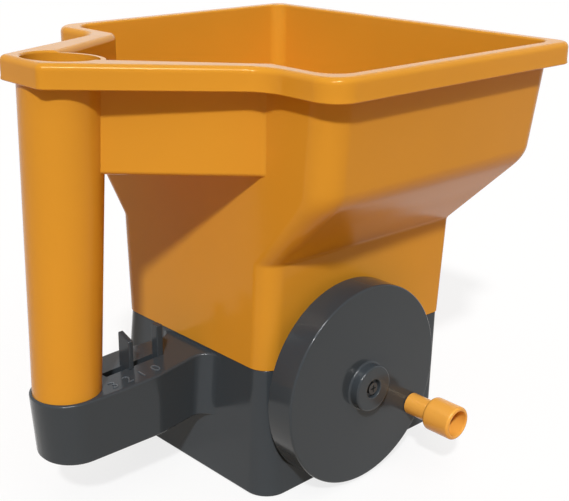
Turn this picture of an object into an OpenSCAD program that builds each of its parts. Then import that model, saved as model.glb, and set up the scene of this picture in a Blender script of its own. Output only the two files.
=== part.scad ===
// Handheld seed spreader: open hopper with a moulded grip tube, a drive base, a side crank and a flow gate.
// Millimetres, +X forward from the grip to the mouth, +Y away from the crank, +Z up.
// The origin lies on the spinner's axis, on the plane that the base stands on.

/* [Hopper] */
// Height of the rim above the standing plane
rim_z = 235; // [225:1:250]
// Distance from the spinner's axis to the front of the rim
rim_front = 126; // [120:1:135]
// Half the width of the rim at the front
rim_half_front = 118; // [112:1:124]
// Half the width of the rim at the rear
rim_half_rear = 115; // [110:1:118]
// Height of the rim's outer band
lip_h = 12; // [8:1:16]
// How far the rim stands out from the bin's wall
lip_over = 7; // [5:0.5:9]
// Thickness of the rim's outer band
lip_skirt = 2.2; // [1.6:0.2:3]
// Thickness of the hopper's walls
hopper_wall = 2.5; // [2:0.1:3.5]
// Height of the edge where the bin turns into the funnel
bin_z = 171.5; // [160:1:185]
// How far the bin's sides draw in between the rim and that edge
bin_draft = 5.5; // [2:0.5:9]
// Height of the edge where the funnel turns into the neck
neck_z = 132; // [120:1:145]
// Half the width of the neck's front at that edge
neck_half_front = 71; // [66:1:76]
// Half the width of the neck's rear at that edge
neck_half_rear = 65; // [62:1:70]
// How far the neck's sides draw in from that edge down to the seam
neck_draft = 2.6; // [1:0.2:4]
// Distance from the spinner's axis to the front of the neck
neck_front = 86; // [78:1:96]
// Distance from the spinner's axis back to the rear wall
rear_x = 52; // [51:1:58]
// Height of the seam between hopper and base
seam_z = 72.5; // [70:0.5:78]

/* [Handle] */
// Distance from the spinner's axis back to the grip's axis at the rim
grip_x = 124; // [122:0.5:132]
// Outer radius of the grip at the rim
grip_r_top = 21; // [19:0.5:22]
// Outer radius of the grip at its foot
grip_r_foot = 17.8; // [16:0.2:18.4]
// Forward lean of the grip and its bridge, in degrees
grip_lean = 2.7; // [0:0.1:3]
// Distance from the grip's axis to the flat rear face of the rim
head_back = 23; // [22:0.5:28]
// Half the width of that flat face
head_half = 17.5; // [15:0.5:20]
// Half the width of the rim's tail where it leaves the bin
tail_half = 71; // [64:1:76]
// Half the width of the bridge where it meets the rear wall
bridge_root = 64; // [58:0.5:66]
// Half the width of the bridge at the grip's axis
bridge_tail = 16; // [13:0.5:19]
// Height of the bridge's lower edge
bridge_z = 180; // [176:1:190]

/* [Base] */
// Thickness of the base's walls
base_wall = 2.5; // [2:0.1:3.2]
// Half the width of the base on the ground
base_half = 68.5; // [66:0.5:71]
// How far the base's rear flares out from the seam to the ground
base_flare = 4.5; // [1:0.5:5]
// Height of the arm's top
arm_top = 68.5; // [67:0.5:69.5]
// Height of the arm's underside
arm_low = 33.7; // [30:0.5:38]
// Half the width of the arm at the grip
arm_half = 20.5; // [20:0.5:22]
// Half the width of the arm at the base
arm_root_half = 15.5; // [15:0.5:18]
// Half the width of the seed mouth
mouth_half = 46; // [36:1:50]
// Height of the seed mouth's sill
mouth_low = 30; // [26:1:34]
// Height of the seed mouth's top edge
mouth_high = 57; // [50:1:59]

/* [Crank] */
// Height of the crank's axis
crank_z = 58.5; // [58:0.5:60]
// Radius of the crank wheel
wheel_r = 56.5; // [56:0.5:57.5]
// Depth of the crank wheel
wheel_depth = 16.8; // [15.5:0.2:20]
// Gap between the base and the crank wheel
wheel_gap = 2; // [1.5:0.1:4]
// Distance from the crank's axis to the knob's axis
knob_orbit = 46; // [38:0.5:46]
// Direction of the knob from the crank's axis, in degrees above forward
knob_angle = -32; // [-180:1:180]
// Length of the knob
knob_len = 34; // [30:1:40]
// Radius of the knob's grip
knob_r = 9.6; // [8:0.2:10]
// Radius of the knob's stem
knob_stem_r = 6.2; // [5:0.2:7]

/* [Drive] */
// Tooth size of the crank's ring and its pinion
ring_module = 1.5; // [1.5]
// Teeth of the crank's inner ring
ring_teeth = 68; // [68]
// Teeth of the pinion inside the crank
pinion_teeth = 12; // [12]
// Tooth size of the bevel pair
bevel_module = 1.25; // [1.25]
// Teeth of each bevel gear
bevel_teeth = 16; // [16]
// Radius of the drive shafts
shaft_r = 3; // [2.5:0.1:3.2]
// Radius of the spinner's disc
disc_r = 46; // [38:1:47]
// Height of the spinner's disc
disc_z = 34; // [33:0.5:35]
// Height of the spinner's vanes
vane_h = 9; // [6:1:12]
// Number of vanes
vanes = 4; // [3:1:8]

/* [Gate] */
// Travel of the gate from closed to the flow stop
gate_travel = 17; // [10:0.5:17]
// Distance from the spinner's axis back to the closed gate's tab
gate_tab_x = 72; // [72:0.5:76]
// Spacing of the flow marks
mark_pitch = 8.5; // [7:0.5:8.5]
// Thickness of the gate's tab
tab_t = 4.2; // [3:0.2:5]
// Thickness of the flow stop's tab
stop_t = 3; // [2.4:0.2:4]
// Height of the gate's tab above the arm
gate_tab_h = 19.5; // [12:0.5:24]
// Height of the flow stop's tab above the arm
stop_tab_h = 20.5; // [12:0.5:24]

/* [Fits] */
// Gap of a sliding or loose fit, on each side
slide_gap = 0.3; // [0.2:0.05:0.5]
// Radial gap of a turning shaft
run_gap = 0.05; // [0.02:0.01:0.1]
// Gap between mating mouldings, on each side
seat_gap = 0.2; // [0.1:0.05:0.4]

/* [Hidden] */
$fn = 64;
arc_steps = 8;
eps = 0.01;
big = 400;

// Hopper, from the top down
bin_half_front = rim_half_front - lip_over;
bin_half_rear = rim_half_rear - lip_over;
bin_front = rim_front - lip_over;
neck_seam_front = neck_front - 1;
hinge_x = rear_x + lip_over / 3;
floor_top = arm_top;
floor_t = 2.5;
floor_low = floor_top - floor_t;
funnel_z = 92;
patch_rear = -26;
patch_front = 50;
patch_half = 26;
outlet_x = 26;
outlet_len = 16;
outlet_half = 11;
spigot_t = 2;
ledge_h = 3.5;

// Corner radii of the plan outlines
rim_front_r = 9;
rim_rear_r = 15;
tail_r = 20;
head_r = 5;
bin_front_r = 11;
bin_rear_r = 15;
neck_front_r = 4;
neck_rear_r = 12;

// Base and its parts
seam_step = 0.6;
base_top = seam_z - seat_gap / 2;
base_front = neck_seam_front - 3;
base_rear = rear_x + base_flare;
seam_half = neck_half_rear - neck_draft - seam_step
    + (neck_half_front - neck_half_rear) * rear_x / (rear_x + neck_seam_front);
floor_plate_t = 3.2;
post_r = 5;
post_rear_x = -42;
post_front_x = 72;
post_rear_y = 51;
post_front_y = 58;
screw_r = 2;
head_screw_r = 3.6;
head_screw_h = 1.8;
arm_plate = 2.5;
cover_t = 2.5;
arm_wall = 2.5;
grip_foot_x = grip_x + (rim_z - arm_top) * sin(grip_lean);
foot_back = grip_foot_x + grip_r_foot + 3;
foot_r = 19;
arm_bend = 9;
arm_flare_x = 88;
arm_bend_r = 30;
socket_depth = 10;
socket_wall = 2;

// Crank and drive
wheel_back = max(base_half, (neck_half_front + neck_half_rear) / 2) + wheel_gap;
wheel_face = wheel_back + wheel_depth;
wheel_plate = 2.5;
wheel_bevel = 2;
hub_r = 13;
hub_h = 6;
hub_bevel = 1.5;
hub_in_r = 10;
hub_hole_r = 5.2;
axle_r = 4;
axle_boss_r = min(9, floor_low - crank_z - slide_gap);
ring_r = ring_module * ring_teeth / 2;
pinion_r = ring_module * pinion_teeth / 2;
cross_z = crank_z - (ring_r - pinion_r);
pinion_w = 9.5;
bevel_r = bevel_module * bevel_teeth / 2;
bevel_w = 2.8;
bush_wall = 1.6;
tooth_share = 0.74;
space_share = 1.2;
pillar_y = 26;
pillar_half = 4;
collar_r = 5;
collar_h = 2;
washer_t = 1;

// Gate, stop and spring
slide_t = 3;
slide_top = floor_low - slide_gap;
slide_low = slide_top - slide_t;
gate_half = 14;
gate_arm_half = 9;
gate_front = outlet_x + outlet_len + 2;
guide_t = 2.6;
guide_rail = 9;
guide_top = slide_low - slide_gap;
guide_low = guide_top - guide_t;
slot_half = 2.4;
stem_half = slot_half - slide_gap;
gate_tab_half = 2.6;
stop_tab_half = 4.8;
stop_x = gate_tab_x + tab_t + gate_travel;
stop_len = 7.5;
spring_r = 4;
spring_wire = 1;
spring_turns = 9;
lug_x = 64;
lug_t = 3;
spring_z = slide_low - spring_r - spring_wire;
spring_len = 30;
spring_end = lug_x + lug_t + spring_len;

// Seats and fasteners
bush_r = shaft_r + bush_wall;
spigot_in = seam_step + base_wall + 2.5 * seat_gap;
grip_low = arm_top - socket_depth + 1;
grip_plug = 6;
grip_taper = (grip_r_top - grip_r_foot) / (rim_z - arm_top);
post_top = floor_low + 12;
head_z = 0.2;
foot_top = 9;
pillar_w = 8;
guide_screw_r = 1.4;
guide_screw_x = [patch_rear + 10, patch_front - 6];
guide_screw_y = gate_half + slide_gap + guide_rail / 2;
guide_boss_h = 6;
cover_screw_in = [14, 8];
cover_screw_len = 9;
handle_screw_len = 7;
cover_screw_x = [-rear_x - cover_screw_in[0], cover_screw_in[1] - grip_x];
top_boss_r = bush_r + 3;
top_boss_h = 5.5;
agitator_z = floor_low + top_boss_h + washer_t + 0.5;
shaft_top = agitator_z + 9;
disc_t = 2.5;
finger_len = 24;
finger_r = 1.8;
ring_out = ring_r + 1.45 * ring_module;
axle_seat = 6.5;
axle_in = near_wall(crank_z) - axle_seat;
axle_end = wheel_face + hub_h - 3.2;
pin_r = 2.5;
hub_screw_r = 1.5;
knob_neck = knob_len / 2;
knob_cup_r = knob_r - 2.3;
pinion_from = wheel_back + 2.5;

function near_wall(z) = base_half + (seam_half - base_half) * z / base_top;
function grip_r(z) = grip_r_foot + (z - arm_top) * grip_taper;
function arm_rib(x) = let (run = (-x - rear_x - arm_bend) / (arm_flare_x - rear_x - arm_bend))
    arm_shrink[1] * min(arm_half, arm_root_half + run * (arm_half - arm_root_half)) - arm_wall / 2;

// Plan outlines: corner points with a radius each, rounded with arcs, moved inwards by a distance

function unit(v) = v / norm(v);
function left(v) = [-v[1], v[0]];
function around(list, i) = list[(i + len(list)) % len(list)];
function edge(pts, i) = unit(around(pts, i + 1) - around(pts, i));
function turns_left(pts, i) = cross(edge(pts, i - 1), edge(pts, i)) > 0;
function moved_in(pts, d) = [for (i = [0 : len(pts) - 1])
    let (a = left(edge(pts, i - 1)), b = left(edge(pts, i))) pts[i] + (a + b) * d / (1 + a * b)];
function fillet(a, p, b, r) = let (
    u = unit(a - p), v = unit(b - p), half = acos(u * v) / 2,
    c = p + unit(u + v) * r / sin(half), from = p + u * r / tan(half) - c, to = p + v * r / tan(half) - c,
    start = atan2(from[1], from[0]), swing = (atan2(to[1], to[0]) - start + 900) % 360 - 180)
    [for (k = [0 : arc_steps]) let (a = start + swing * k / arc_steps) c + r * [cos(a), sin(a)]];
function outline(pts, radii, d = 0) = let (q = moved_in(pts, d)) [for (i = [0 : len(q) - 1])
    each fillet(around(q, i - 1), q[i], around(q, i + 1),
        max(0.3, radii[i] + (turns_left(pts, i) ? -d : d)))];
function mirrored(half) = concat(half, [for (i = [len(half) - 1 : -1 : 0]) [half[i][0], -half[i][1]]]);
function both(half) = concat(half, [for (i = [len(half) - 1 : -1 : 0]) half[i]]);

// Corner points from the front left round the rear to the front right
rim_corners = mirrored([[rim_front, rim_half_front], [-rear_x - lip_over, rim_half_rear],
    [-rear_x - lip_over, tail_half], [-grip_x - head_back, head_half]]);
rim_radii = both([rim_front_r, rim_rear_r, tail_r, head_r]);
bridge_corners = mirrored([[-rear_x, bridge_root], [-grip_x, bridge_tail]]);
bin_corners = mirrored([[bin_front, bin_half_front], [-rear_x, bin_half_rear]]);
bin_low_corners = mirrored([[bin_front - bin_draft, bin_half_front - bin_draft],
    [-rear_x, bin_half_rear - bin_draft]]);
bin_radii = both([bin_front_r, bin_rear_r]);
neck_corners = mirrored([[neck_front, neck_half_front], [-rear_x, neck_half_rear]]);
seam_corners = mirrored([[neck_seam_front, neck_half_front - neck_draft],
    [-rear_x, neck_half_rear - neck_draft]]);
neck_radii = both([neck_front_r, neck_rear_r]);
patch_corners = mirrored([[patch_front, patch_half], [patch_rear, patch_half]]);
patch_radii = both([8, 8]);
ground_corners = mirrored([[base_front, base_half], [-base_rear, base_half]]);
ground_radii = both([neck_front_r, neck_rear_r + 2]);
arm_corners = mirrored([[-rear_x + 1, arm_root_half + 6], [-rear_x - 3, arm_root_half + 6],
    [-rear_x - arm_bend, arm_root_half], [-arm_flare_x, arm_half], [-foot_back, arm_half]]);
arm_radii = both([0.3, 4, 6, arm_bend_r, foot_r]);
arm_shrink = [0.955, 0.97];

module prism(pts, low, high) {
    translate([0, 0, low]) linear_extrude(high - low) polygon(pts);
}

// A body through outlines of equal point count, each at its own height
module loft(rings) {
    n = len(rings[0][0]);
    last = len(rings) - 1;
    polyhedron([for (r = rings, p = r[0]) [p[0], p[1], r[1]]], concat(
        [[for (i = [0 : n - 1]) i]], [[for (i = [n - 1 : -1 : 0]) last * n + i]],
        [for (k = [0 : last - 1], i = [0 : n - 1]) let (j = k * n + (i + 1) % n)
            [k * n + i, k * n + n + i, j + n]],
        [for (k = [0 : last - 1], i = [0 : n - 1]) let (j = k * n + (i + 1) % n)
            [k * n + i, j + n, j]]));
}

// A cylinder along Y from one distance on the crank's side to another
module along_y(r, from, to, r2 = undef) {
    translate([0, -from, 0]) rotate([90, 0, 0])
        cylinder(r1 = r, r2 = is_undef(r2) ? r : r2, h = to - from);
}

module at_crank(angle = 0) {
    translate([0, 0, crank_z]) rotate([0, -angle, 0]) children();
}

// The grip leans about a line on the rim just behind the rear wall
module leaned() {
    translate([-hinge_x, 0, rim_z]) rotate([0, grip_lean, 0]) translate([hinge_x, 0, -rim_z]) children();
}

// The rim behind that line climbs at the same angle, its sides upright
module climbing() {
    multmatrix([[1, 0, 0, 0], [0, 1, 0, 0], [-tan(grip_lean), 0, 1, -hinge_x * tan(grip_lean)], [0, 0, 0, 1]])
        children();
}

module ahead_of(x) {
    intersection() {
        children();
        translate([x, -big / 2, 0]) cube(big);
    }
}

module behind(x) {
    intersection() {
        children();
        translate([x - big, -big / 2, 0]) cube(big);
    }
}

// Hopper

module rim() {
    difference() {
        prism(outline(rim_corners, rim_radii), rim_z - lip_h, rim_z);
        prism(outline(rim_corners, rim_radii, lip_skirt), rim_z - lip_h - 1, rim_z - hopper_wall);
    }
}

// Outline of the bridge moved inwards, from the grip to a line across the rear wall
function bridge_pts(d, front) = let (q = moved_in(bridge_corners, d),
    slope = (q[0][1] - q[1][1]) / (q[0][0] - q[1][0]))
    mirrored([for (x = [front, -grip_x]) [x, q[0][1] + (x - q[0][0]) * slope]]);

module grip_shape(d, low, high) {
    translate([-grip_x, 0, low]) cylinder(r1 = grip_r(low) - d, r2 = grip_r(high) - d, h = high - low);
}

module hopper_shape(d, low, high) {
    loft([[outline(seam_corners, neck_radii, d), low], [outline(neck_corners, neck_radii, d), neck_z],
        [outline(bin_low_corners, bin_radii, d), bin_z], [outline(bin_corners, bin_radii, d), high]]);
}

module funnel(d, edge_in) {
    loft([[outline(patch_corners, patch_radii, -d), floor_top - d],
        [outline(seam_corners, neck_radii, edge_in), funnel_z]]);
}

module at_posts() {
    for (x = [post_rear_x, post_front_x], side = [-1, 1])
        translate([x, side * (x < 0 ? post_rear_y : post_front_y), 0]) children();
}

module at_guide_screws() {
    for (x = guide_screw_x, side = [-1, 1])
        translate([x, side * guide_screw_y, 0]) children();
}

module hopper_shell() {
    difference() {
        union() {
            ahead_of(-hinge_x) rim();
            climbing() behind(-hinge_x) rim();
            hopper_shape(0, seam_z, rim_z);
            climbing() prism(bridge_pts(0, 1 - rear_x), bridge_z, rim_z - 1);
        }
        hopper_shape(hopper_wall, seam_z - 1, rim_z + 1);
        climbing() prism(bridge_pts(hopper_wall, hopper_wall + 1 - rear_x),
            bridge_z + hopper_wall, rim_z + 1);
    }
}

module hopper() {
    color("orange") difference() {
        union() {
            hopper_shell();
            difference() {
                funnel(hopper_wall, 0.8);
                funnel(0, 2);
            }
            difference() {
                prism(outline(seam_corners, neck_radii, spigot_in), floor_low, seam_z + ledge_h);
                prism(outline(seam_corners, neck_radii, spigot_in + spigot_t), floor_low - 1, big);
            }
            difference() {
                prism(outline(seam_corners, neck_radii, 1), seam_z, seam_z + ledge_h);
                prism(outline(seam_corners, neck_radii, spigot_in + spigot_t), floor_low - 1, big);
            }
            leaned() grip_shape(0, grip_low, rim_z - 0.4);
            at_posts() translate([0, 0, floor_low + seat_gap])
                cylinder(r = post_r + 1.5, h = post_top - floor_low);
            at_guide_screws() translate([0, 0, floor_low]) cylinder(r = 4, h = guide_boss_h);
            translate([0, 0, floor_low]) cylinder(r = top_boss_r, h = top_boss_h);
        }
        leaned() grip_shape(hopper_wall, grip_low + grip_plug, rim_z + 1);
        leaned() translate([-grip_x, 0, grip_low - 1]) cylinder(r = screw_r, h = grip_plug);
        translate([outlet_x, -outlet_half, floor_low - 1]) cube([outlet_len, 2 * outlet_half, 5]);
        translate([0, 0, floor_low - 1]) cylinder(r = bush_r, h = top_boss_h + 2);
        at_posts() translate([0, 0, floor_low - 1]) cylinder(r = screw_r, h = post_top - floor_low);
        at_guide_screws() translate([0, 0, floor_low - 1]) cylinder(r = guide_screw_r, h = guide_boss_h);
    }
}

module top_bush() {
    color("dimgray") difference() {
        union() {
            translate([0, 0, floor_low]) cylinder(r = bush_r, h = top_boss_h);
            translate([0, 0, floor_low + top_boss_h]) cylinder(r = bush_r + 2, h = washer_t);
        }
        translate([0, 0, floor_low - 1]) cylinder(r = shaft_r + run_gap, h = top_boss_h + 4);
    }
}

// Base

module base_shape(d, low, high) {
    loft([[outline(ground_corners, ground_radii, d), low],
        [outline(seam_corners, neck_radii, seam_step + d), high]]);
}

module arm_shape(d, low, high) {
    pts = [for (p = outline(arm_corners, arm_radii, d))
        [(p[0] + rear_x) * arm_shrink[0], p[1] * arm_shrink[1]]];
    translate([-rear_x, 0, low]) linear_extrude(high - low, slices = 1, $fn = 0,
        scale = [1 / arm_shrink[0], 1 / arm_shrink[1]]) polygon(pts);
}

module base_housing() {
    color("dimgray") difference() {
        union() {
            difference() {
                union() {
                    base_shape(0, 0, base_top);
                    arm_shape(0, arm_low, arm_top);
                }
                base_shape(base_wall, -1, base_top + 1);
                behind(-base_rear - 0.5) arm_shape(arm_wall, arm_low - 1, arm_top - arm_plate);
            }
            intersection() {
                arm_shape(0.5, arm_low, arm_top);
                leaned() grip_shape(-seat_gap - socket_wall, grip_low - 3, arm_top - 1);
            }
            at_posts() translate([0, 0, floor_plate_t]) cylinder(r = post_r, h = floor_low - floor_plate_t);
            intersection() {
                base_shape(0.5, 0, base_top);
                at_posts() translate([-1.2, -post_r - 9, floor_plate_t + 1])
                    cube([2.4, 2 * post_r + 18, floor_low - floor_plate_t - 1]);
            }
            translate([0, 0, crank_z]) along_y(axle_boss_r, axle_in, wheel_back - 1);
            translate([0, 0, cross_z]) along_y(bush_r + 3, base_half - 9, base_half - 0.5);
            for (x = cover_screw_x) translate([x, 0, arm_low + cover_t]) {
                cylinder(r = 4, h = 13);
                translate([-1.2, -arm_rib(x), 5]) cube([2.4, 2 * arm_rib(x), 8]);
            }
            translate([-spring_end - 2.5, -arm_rib(-spring_end), spring_z - 5])
                cube([2.5, 2 * arm_rib(-spring_end), 9.5]);
        }
        translate([base_front - 6, -mouth_half, mouth_low])
            cube([14, 2 * mouth_half, mouth_high - mouth_low]);
        translate([-base_rear - 3, -gate_arm_half - slide_gap, slide_low - slide_gap])
            cube([14, 2 * (gate_arm_half + slide_gap), arm_top - arm_plate - slide_low + slide_gap]);
        translate([-stop_x - tab_t - mark_pitch - 1, -slot_half, arm_top - arm_plate - 1])
            cube([stop_x + tab_t + mark_pitch + 2 - gate_tab_x, 2 * slot_half, arm_plate + 2]);
        leaned() grip_shape(-seat_gap, grip_low - seat_gap, arm_top + 10);
        leaned() translate([-grip_x, 0, grip_low - 10]) cylinder(r = screw_r + 0.2, h = 12);
        at_posts() translate([0, 0, -1]) cylinder(r = screw_r + 0.2, h = big);
        translate([0, 0, crank_z]) along_y(axle_r, 0, wheel_face);
        translate([0, 0, cross_z]) along_y(bush_r, 0, wheel_face);
        for (x = cover_screw_x) translate([x, 0, arm_low]) cylinder(r = guide_screw_r, h = 12);
    }
}

module base_floor() {
    color("dimgray") difference() {
        union() {
            prism(outline(ground_corners, ground_radii, base_wall + 2 * seat_gap), 0, floor_plate_t);
            translate([0, 0, 1]) cylinder(r = bush_r + 1.4, h = foot_top - 1);
            translate([-pillar_w, -pillar_y - pillar_half, 1])
                cube([2 * pillar_w, 2 * pillar_half, cross_z + bush_r + 2.5]);
        }
        translate([0, 0, floor_plate_t]) cylinder(r = bush_r, h = 20);
        translate([0, 0, cross_z]) along_y(bush_r, pillar_y - pillar_half - 1, pillar_y + pillar_half + 1);
        at_posts() translate([0, 0, -1]) cylinder(r = screw_r + 0.2, h = 10);
        at_posts() translate([0, 0, -1]) cylinder(r = head_screw_r + 0.3, h = 1 + head_z + head_screw_h);
    }
}

module arm_cover() {
    color("dimgray") difference() {
        intersection() {
            behind(-base_rear - 1) arm_shape(arm_wall + 2 * seat_gap, arm_low, arm_top - arm_plate);
            translate([-big, -big / 2, 0]) cube([big, big, arm_low + cover_t]);
        }
        for (x = cover_screw_x) translate([x, 0, arm_low - 1]) {
            cylinder(r = guide_screw_r + 0.2, h = 10);
            cylinder(r = 3.2, h = 2.4);
        }
    }
}

module wall_bush() {
    color("goldenrod") translate([0, 0, cross_z]) difference() {
        along_y(bush_r, base_half - 9, base_half - 1);
        along_y(shaft_r + run_gap, 0, wheel_face);
    }
}

module inner_bush() {
    color("goldenrod") translate([0, 0, cross_z]) difference() {
        along_y(bush_r, pillar_y - pillar_half, pillar_y + pillar_half);
        along_y(shaft_r + run_gap, 0, wheel_face);
    }
}

module foot_bush() {
    color("goldenrod") difference() {
        translate([0, 0, floor_plate_t]) cylinder(r = bush_r, h = foot_top - floor_plate_t);
        cylinder(r = shaft_r + run_gap, h = foot_top + washer_t + 1);
    }
}

module thrust_washer() {
    color("silver") difference() {
        translate([0, 0, foot_top]) cylinder(r = collar_r + 0.5, h = washer_t);
        cylinder(r = shaft_r + run_gap, h = foot_top + washer_t + 1);
    }
}

// Crank

module at_knob() {
    at_crank(knob_angle) translate([knob_orbit, 0, 0]) children();
}

module gear(teeth, module_mm, tip, root, wide, phase = 0) {
    r = teeth * module_mm / 2;
    share = 90 / teeth * wide;
    polygon([for (k = [0 : teeth - 1], c = [[-1.5, root], [-0.45, tip], [0.45, tip], [1.5, root]])
        (r + c[1] * module_mm) * [cos(360 * k / teeth + phase + c[0] * share),
            sin(360 * k / teeth + phase + c[0] * share)]]);
}

module crank_wheel() {
    color("dimgray") at_crank() difference() {
        union() {
            rotate([90, 0, 0]) rotate_extrude($fn = 128) polygon([
                [ring_out, wheel_back], [wheel_r, wheel_back], [wheel_r, wheel_face - wheel_bevel],
                [wheel_r - wheel_bevel, wheel_face], [hub_r, wheel_face],
                [hub_r, wheel_face + hub_h - hub_bevel], [hub_r - hub_bevel, wheel_face + hub_h],
                [hub_hole_r, wheel_face + hub_h], [hub_hole_r, axle_end], [axle_r + run_gap, axle_end],
                [axle_r + run_gap, wheel_back + 0.5], [hub_in_r, wheel_back + 0.5],
                [hub_in_r, wheel_face - wheel_plate], [ring_out, wheel_face - wheel_plate]]);
            translate([0, -wheel_back - 1, 0]) rotate([90, 0, 0])
                linear_extrude(wheel_depth - wheel_plate - 1 + eps) difference() {
                    circle(r = ring_out + 0.5, $fn = 128);
                    gear(ring_teeth, ring_module, 1.25, -0.8, space_share);
                }
        }
        rotate([0, -knob_angle, 0]) translate([knob_orbit, 0, 0])
            along_y(pin_r, wheel_back, wheel_face + 1);
    }
}

module crank_axle() {
    color("silver") at_crank() difference() {
        union() {
            along_y(axle_r, axle_in - 1, axle_end);
            along_y(axle_r + 2, axle_in - 3, axle_in);
        }
        along_y(hub_screw_r, axle_end - 10, axle_end + 1);
    }
}

module hub_washer() {
    color("silver") at_crank() difference() {
        along_y(hub_hole_r - 0.2, axle_end, axle_end + washer_t - 0.2);
        along_y(hub_screw_r + 0.1, 0, 200);
    }
}

module hub_screw() {
    color("silver") at_crank() difference() {
        union() {
            along_y(hub_screw_r, axle_end - 9, axle_end + 1);
            along_y(3.4, axle_end + washer_t - 0.2, axle_end + washer_t + 1.6);
        }
        for (a = [0, 90]) rotate([0, a, 0])
            translate([-2, -axle_end - washer_t - 2, -0.4]) cube([4, 1.2, 0.8]);
    }
}

module crank_knob() {
    color("orange") at_knob() rotate([90, 0, 0]) translate([0, 0, wheel_face]) rotate_extrude() polygon([
        [pin_r + run_gap, 0.3], [knob_stem_r, 0.3], [knob_stem_r, knob_neck - 2], [knob_r, knob_neck + 0.5],
        [knob_r, knob_len - 1], [knob_r - 1, knob_len], [knob_cup_r, knob_len], [knob_cup_r, knob_neck + 3],
        [pin_r + run_gap, knob_neck + 3]]);
}

module knob_pin() {
    color("silver") at_knob() {
        along_y(pin_r, wheel_face - wheel_plate, wheel_face + knob_neck + 3.4);
        along_y(pin_r + 1.8, wheel_face + knob_neck + 3.3, wheel_face + knob_neck + 5.3);
    }
}

// Drive

module drive_pinion() {
    color("gainsboro") translate([0, -pinion_from, cross_z]) rotate([90, 0, 0]) difference() {
        linear_extrude(pinion_w) gear(pinion_teeth, ring_module, 0.8, -1.15, tooth_share);
        translate([0, 0, -1]) cylinder(r = shaft_r, h = pinion_w + 2);
    }
}

module cross_shaft() {
    color("silver") translate([0, 0, cross_z])
        along_y(shaft_r, bevel_r - bevel_w - 0.7, pinion_from + pinion_w + 0.5);
}

module shaft_clip() {
    color("silver") translate([0, 0, cross_z]) difference() {
        along_y(shaft_r + 3, pillar_y + pillar_half + 0.3, pillar_y + pillar_half + 1.5);
        along_y(shaft_r, 0, 100);
    }
}

// A straight bevel gear along its own axis, its large end at the pitch radius from the apex
module bevel(phase, hub) {
    difference() {
        union() {
            translate([0, 0, bevel_r]) mirror([0, 0, 1])
                linear_extrude(bevel_w, slices = 1, scale = (bevel_r - bevel_w) / bevel_r)
                    gear(bevel_teeth, bevel_module, 0.75, -1.15, tooth_share, phase);
            translate([0, 0, bevel_r - eps]) cylinder(r = bevel_r - 3.2, h = hub);
        }
        cylinder(r = shaft_r, h = big);
    }
}

module drive_bevel() {
    color("gainsboro") translate([0, 0, cross_z]) rotate([90, 0, 0])
        bevel(0, pillar_y - pillar_half - bevel_r - 0.5);
}

module spinner_bevel() {
    color("gainsboro") translate([0, 0, cross_z]) bevel(180 / bevel_teeth, disc_z - cross_z - bevel_r);
}

module spinner_shaft() {
    color("silver") {
        translate([0, 0, floor_plate_t + 0.3]) cylinder(r = shaft_r, h = shaft_top - floor_plate_t - 0.3);
        translate([0, 0, foot_top + washer_t + run_gap]) cylinder(r = collar_r, h = collar_h);
    }
}

module spinner_disc() {
    color("gainsboro") difference() {
        union() {
            translate([0, 0, disc_z]) cylinder(r = disc_r, h = disc_t, $fn = 96);
            translate([0, 0, disc_z]) cylinder(r = 8, h = disc_t + vane_h);
            for (k = [0 : vanes - 1]) rotate([0, 0, 360 * (k + 0.5) / vanes])
                translate([6, -1, disc_z + disc_t - 1]) cube([disc_r - 8, 2, vane_h + 1]);
        }
        cylinder(r = shaft_r, h = big);
    }
}

module agitator() {
    color("gainsboro") difference() {
        union() {
            translate([0, 0, agitator_z]) cylinder(r = 6, h = shaft_top - agitator_z);
            for (a = [0, 180]) rotate([0, 0, a + 35]) translate([0, 0, agitator_z + 4])
                rotate([0, 72, 0]) cylinder(r = finger_r, h = finger_len, $fn = 24);
        }
        cylinder(r = shaft_r, h = big);
    }
}

// Gate

module gate_slide() {
    color("dimgray") {
        difference() {
            union() {
                translate([-gate_tab_x - tab_t, -gate_arm_half, slide_low])
                    cube([gate_tab_x + tab_t + gate_front, 2 * gate_arm_half, slide_t]);
                translate([-30, -gate_half, slide_low]) cube([30 + gate_front, 2 * gate_half, slide_t]);
            }
            translate([-shaft_r - 1.5, -shaft_r - 1.5, slide_low - 1])
                cube([2 * shaft_r + 3 + gate_travel, 2 * shaft_r + 3, slide_t + 2]);
        }
        translate([-gate_tab_x - tab_t, -stem_half, slide_low])
            cube([tab_t, 2 * stem_half, arm_top - slide_low + 1]);
        translate([-gate_tab_x - tab_t, -gate_tab_half, arm_top + slide_gap])
            cube([tab_t, 2 * gate_tab_half, gate_tab_h - slide_gap]);
        translate([-lug_x - lug_t, -spring_r - 1, spring_z - spring_r])
            cube([lug_t, 2 * spring_r + 2, slide_low - spring_z + spring_r + 0.5]);
    }
}

module flow_stop() {
    color("dimgray") {
        translate([-stop_x - stop_len, -gate_arm_half, slide_low])
            cube([stop_len, 2 * gate_arm_half, slide_t]);
        translate([-stop_x - stop_t, -stem_half, slide_low])
            cube([stop_t, 2 * stem_half, arm_top - slide_low + 1]);
        translate([-stop_x, 0, arm_top + slide_gap]) rotate([0, -90, 0]) linear_extrude(stop_t) polygon([
            [0, -stop_tab_half], [stop_tab_h - 4, -stop_tab_half], [stop_tab_h - 3.2, -stop_tab_half + 0.6],
            [stop_tab_h - slide_gap, stop_tab_half - 1.2], [stop_tab_h - slide_gap - 0.7, stop_tab_half],
            [0, stop_tab_half]]);
    }
}

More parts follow.
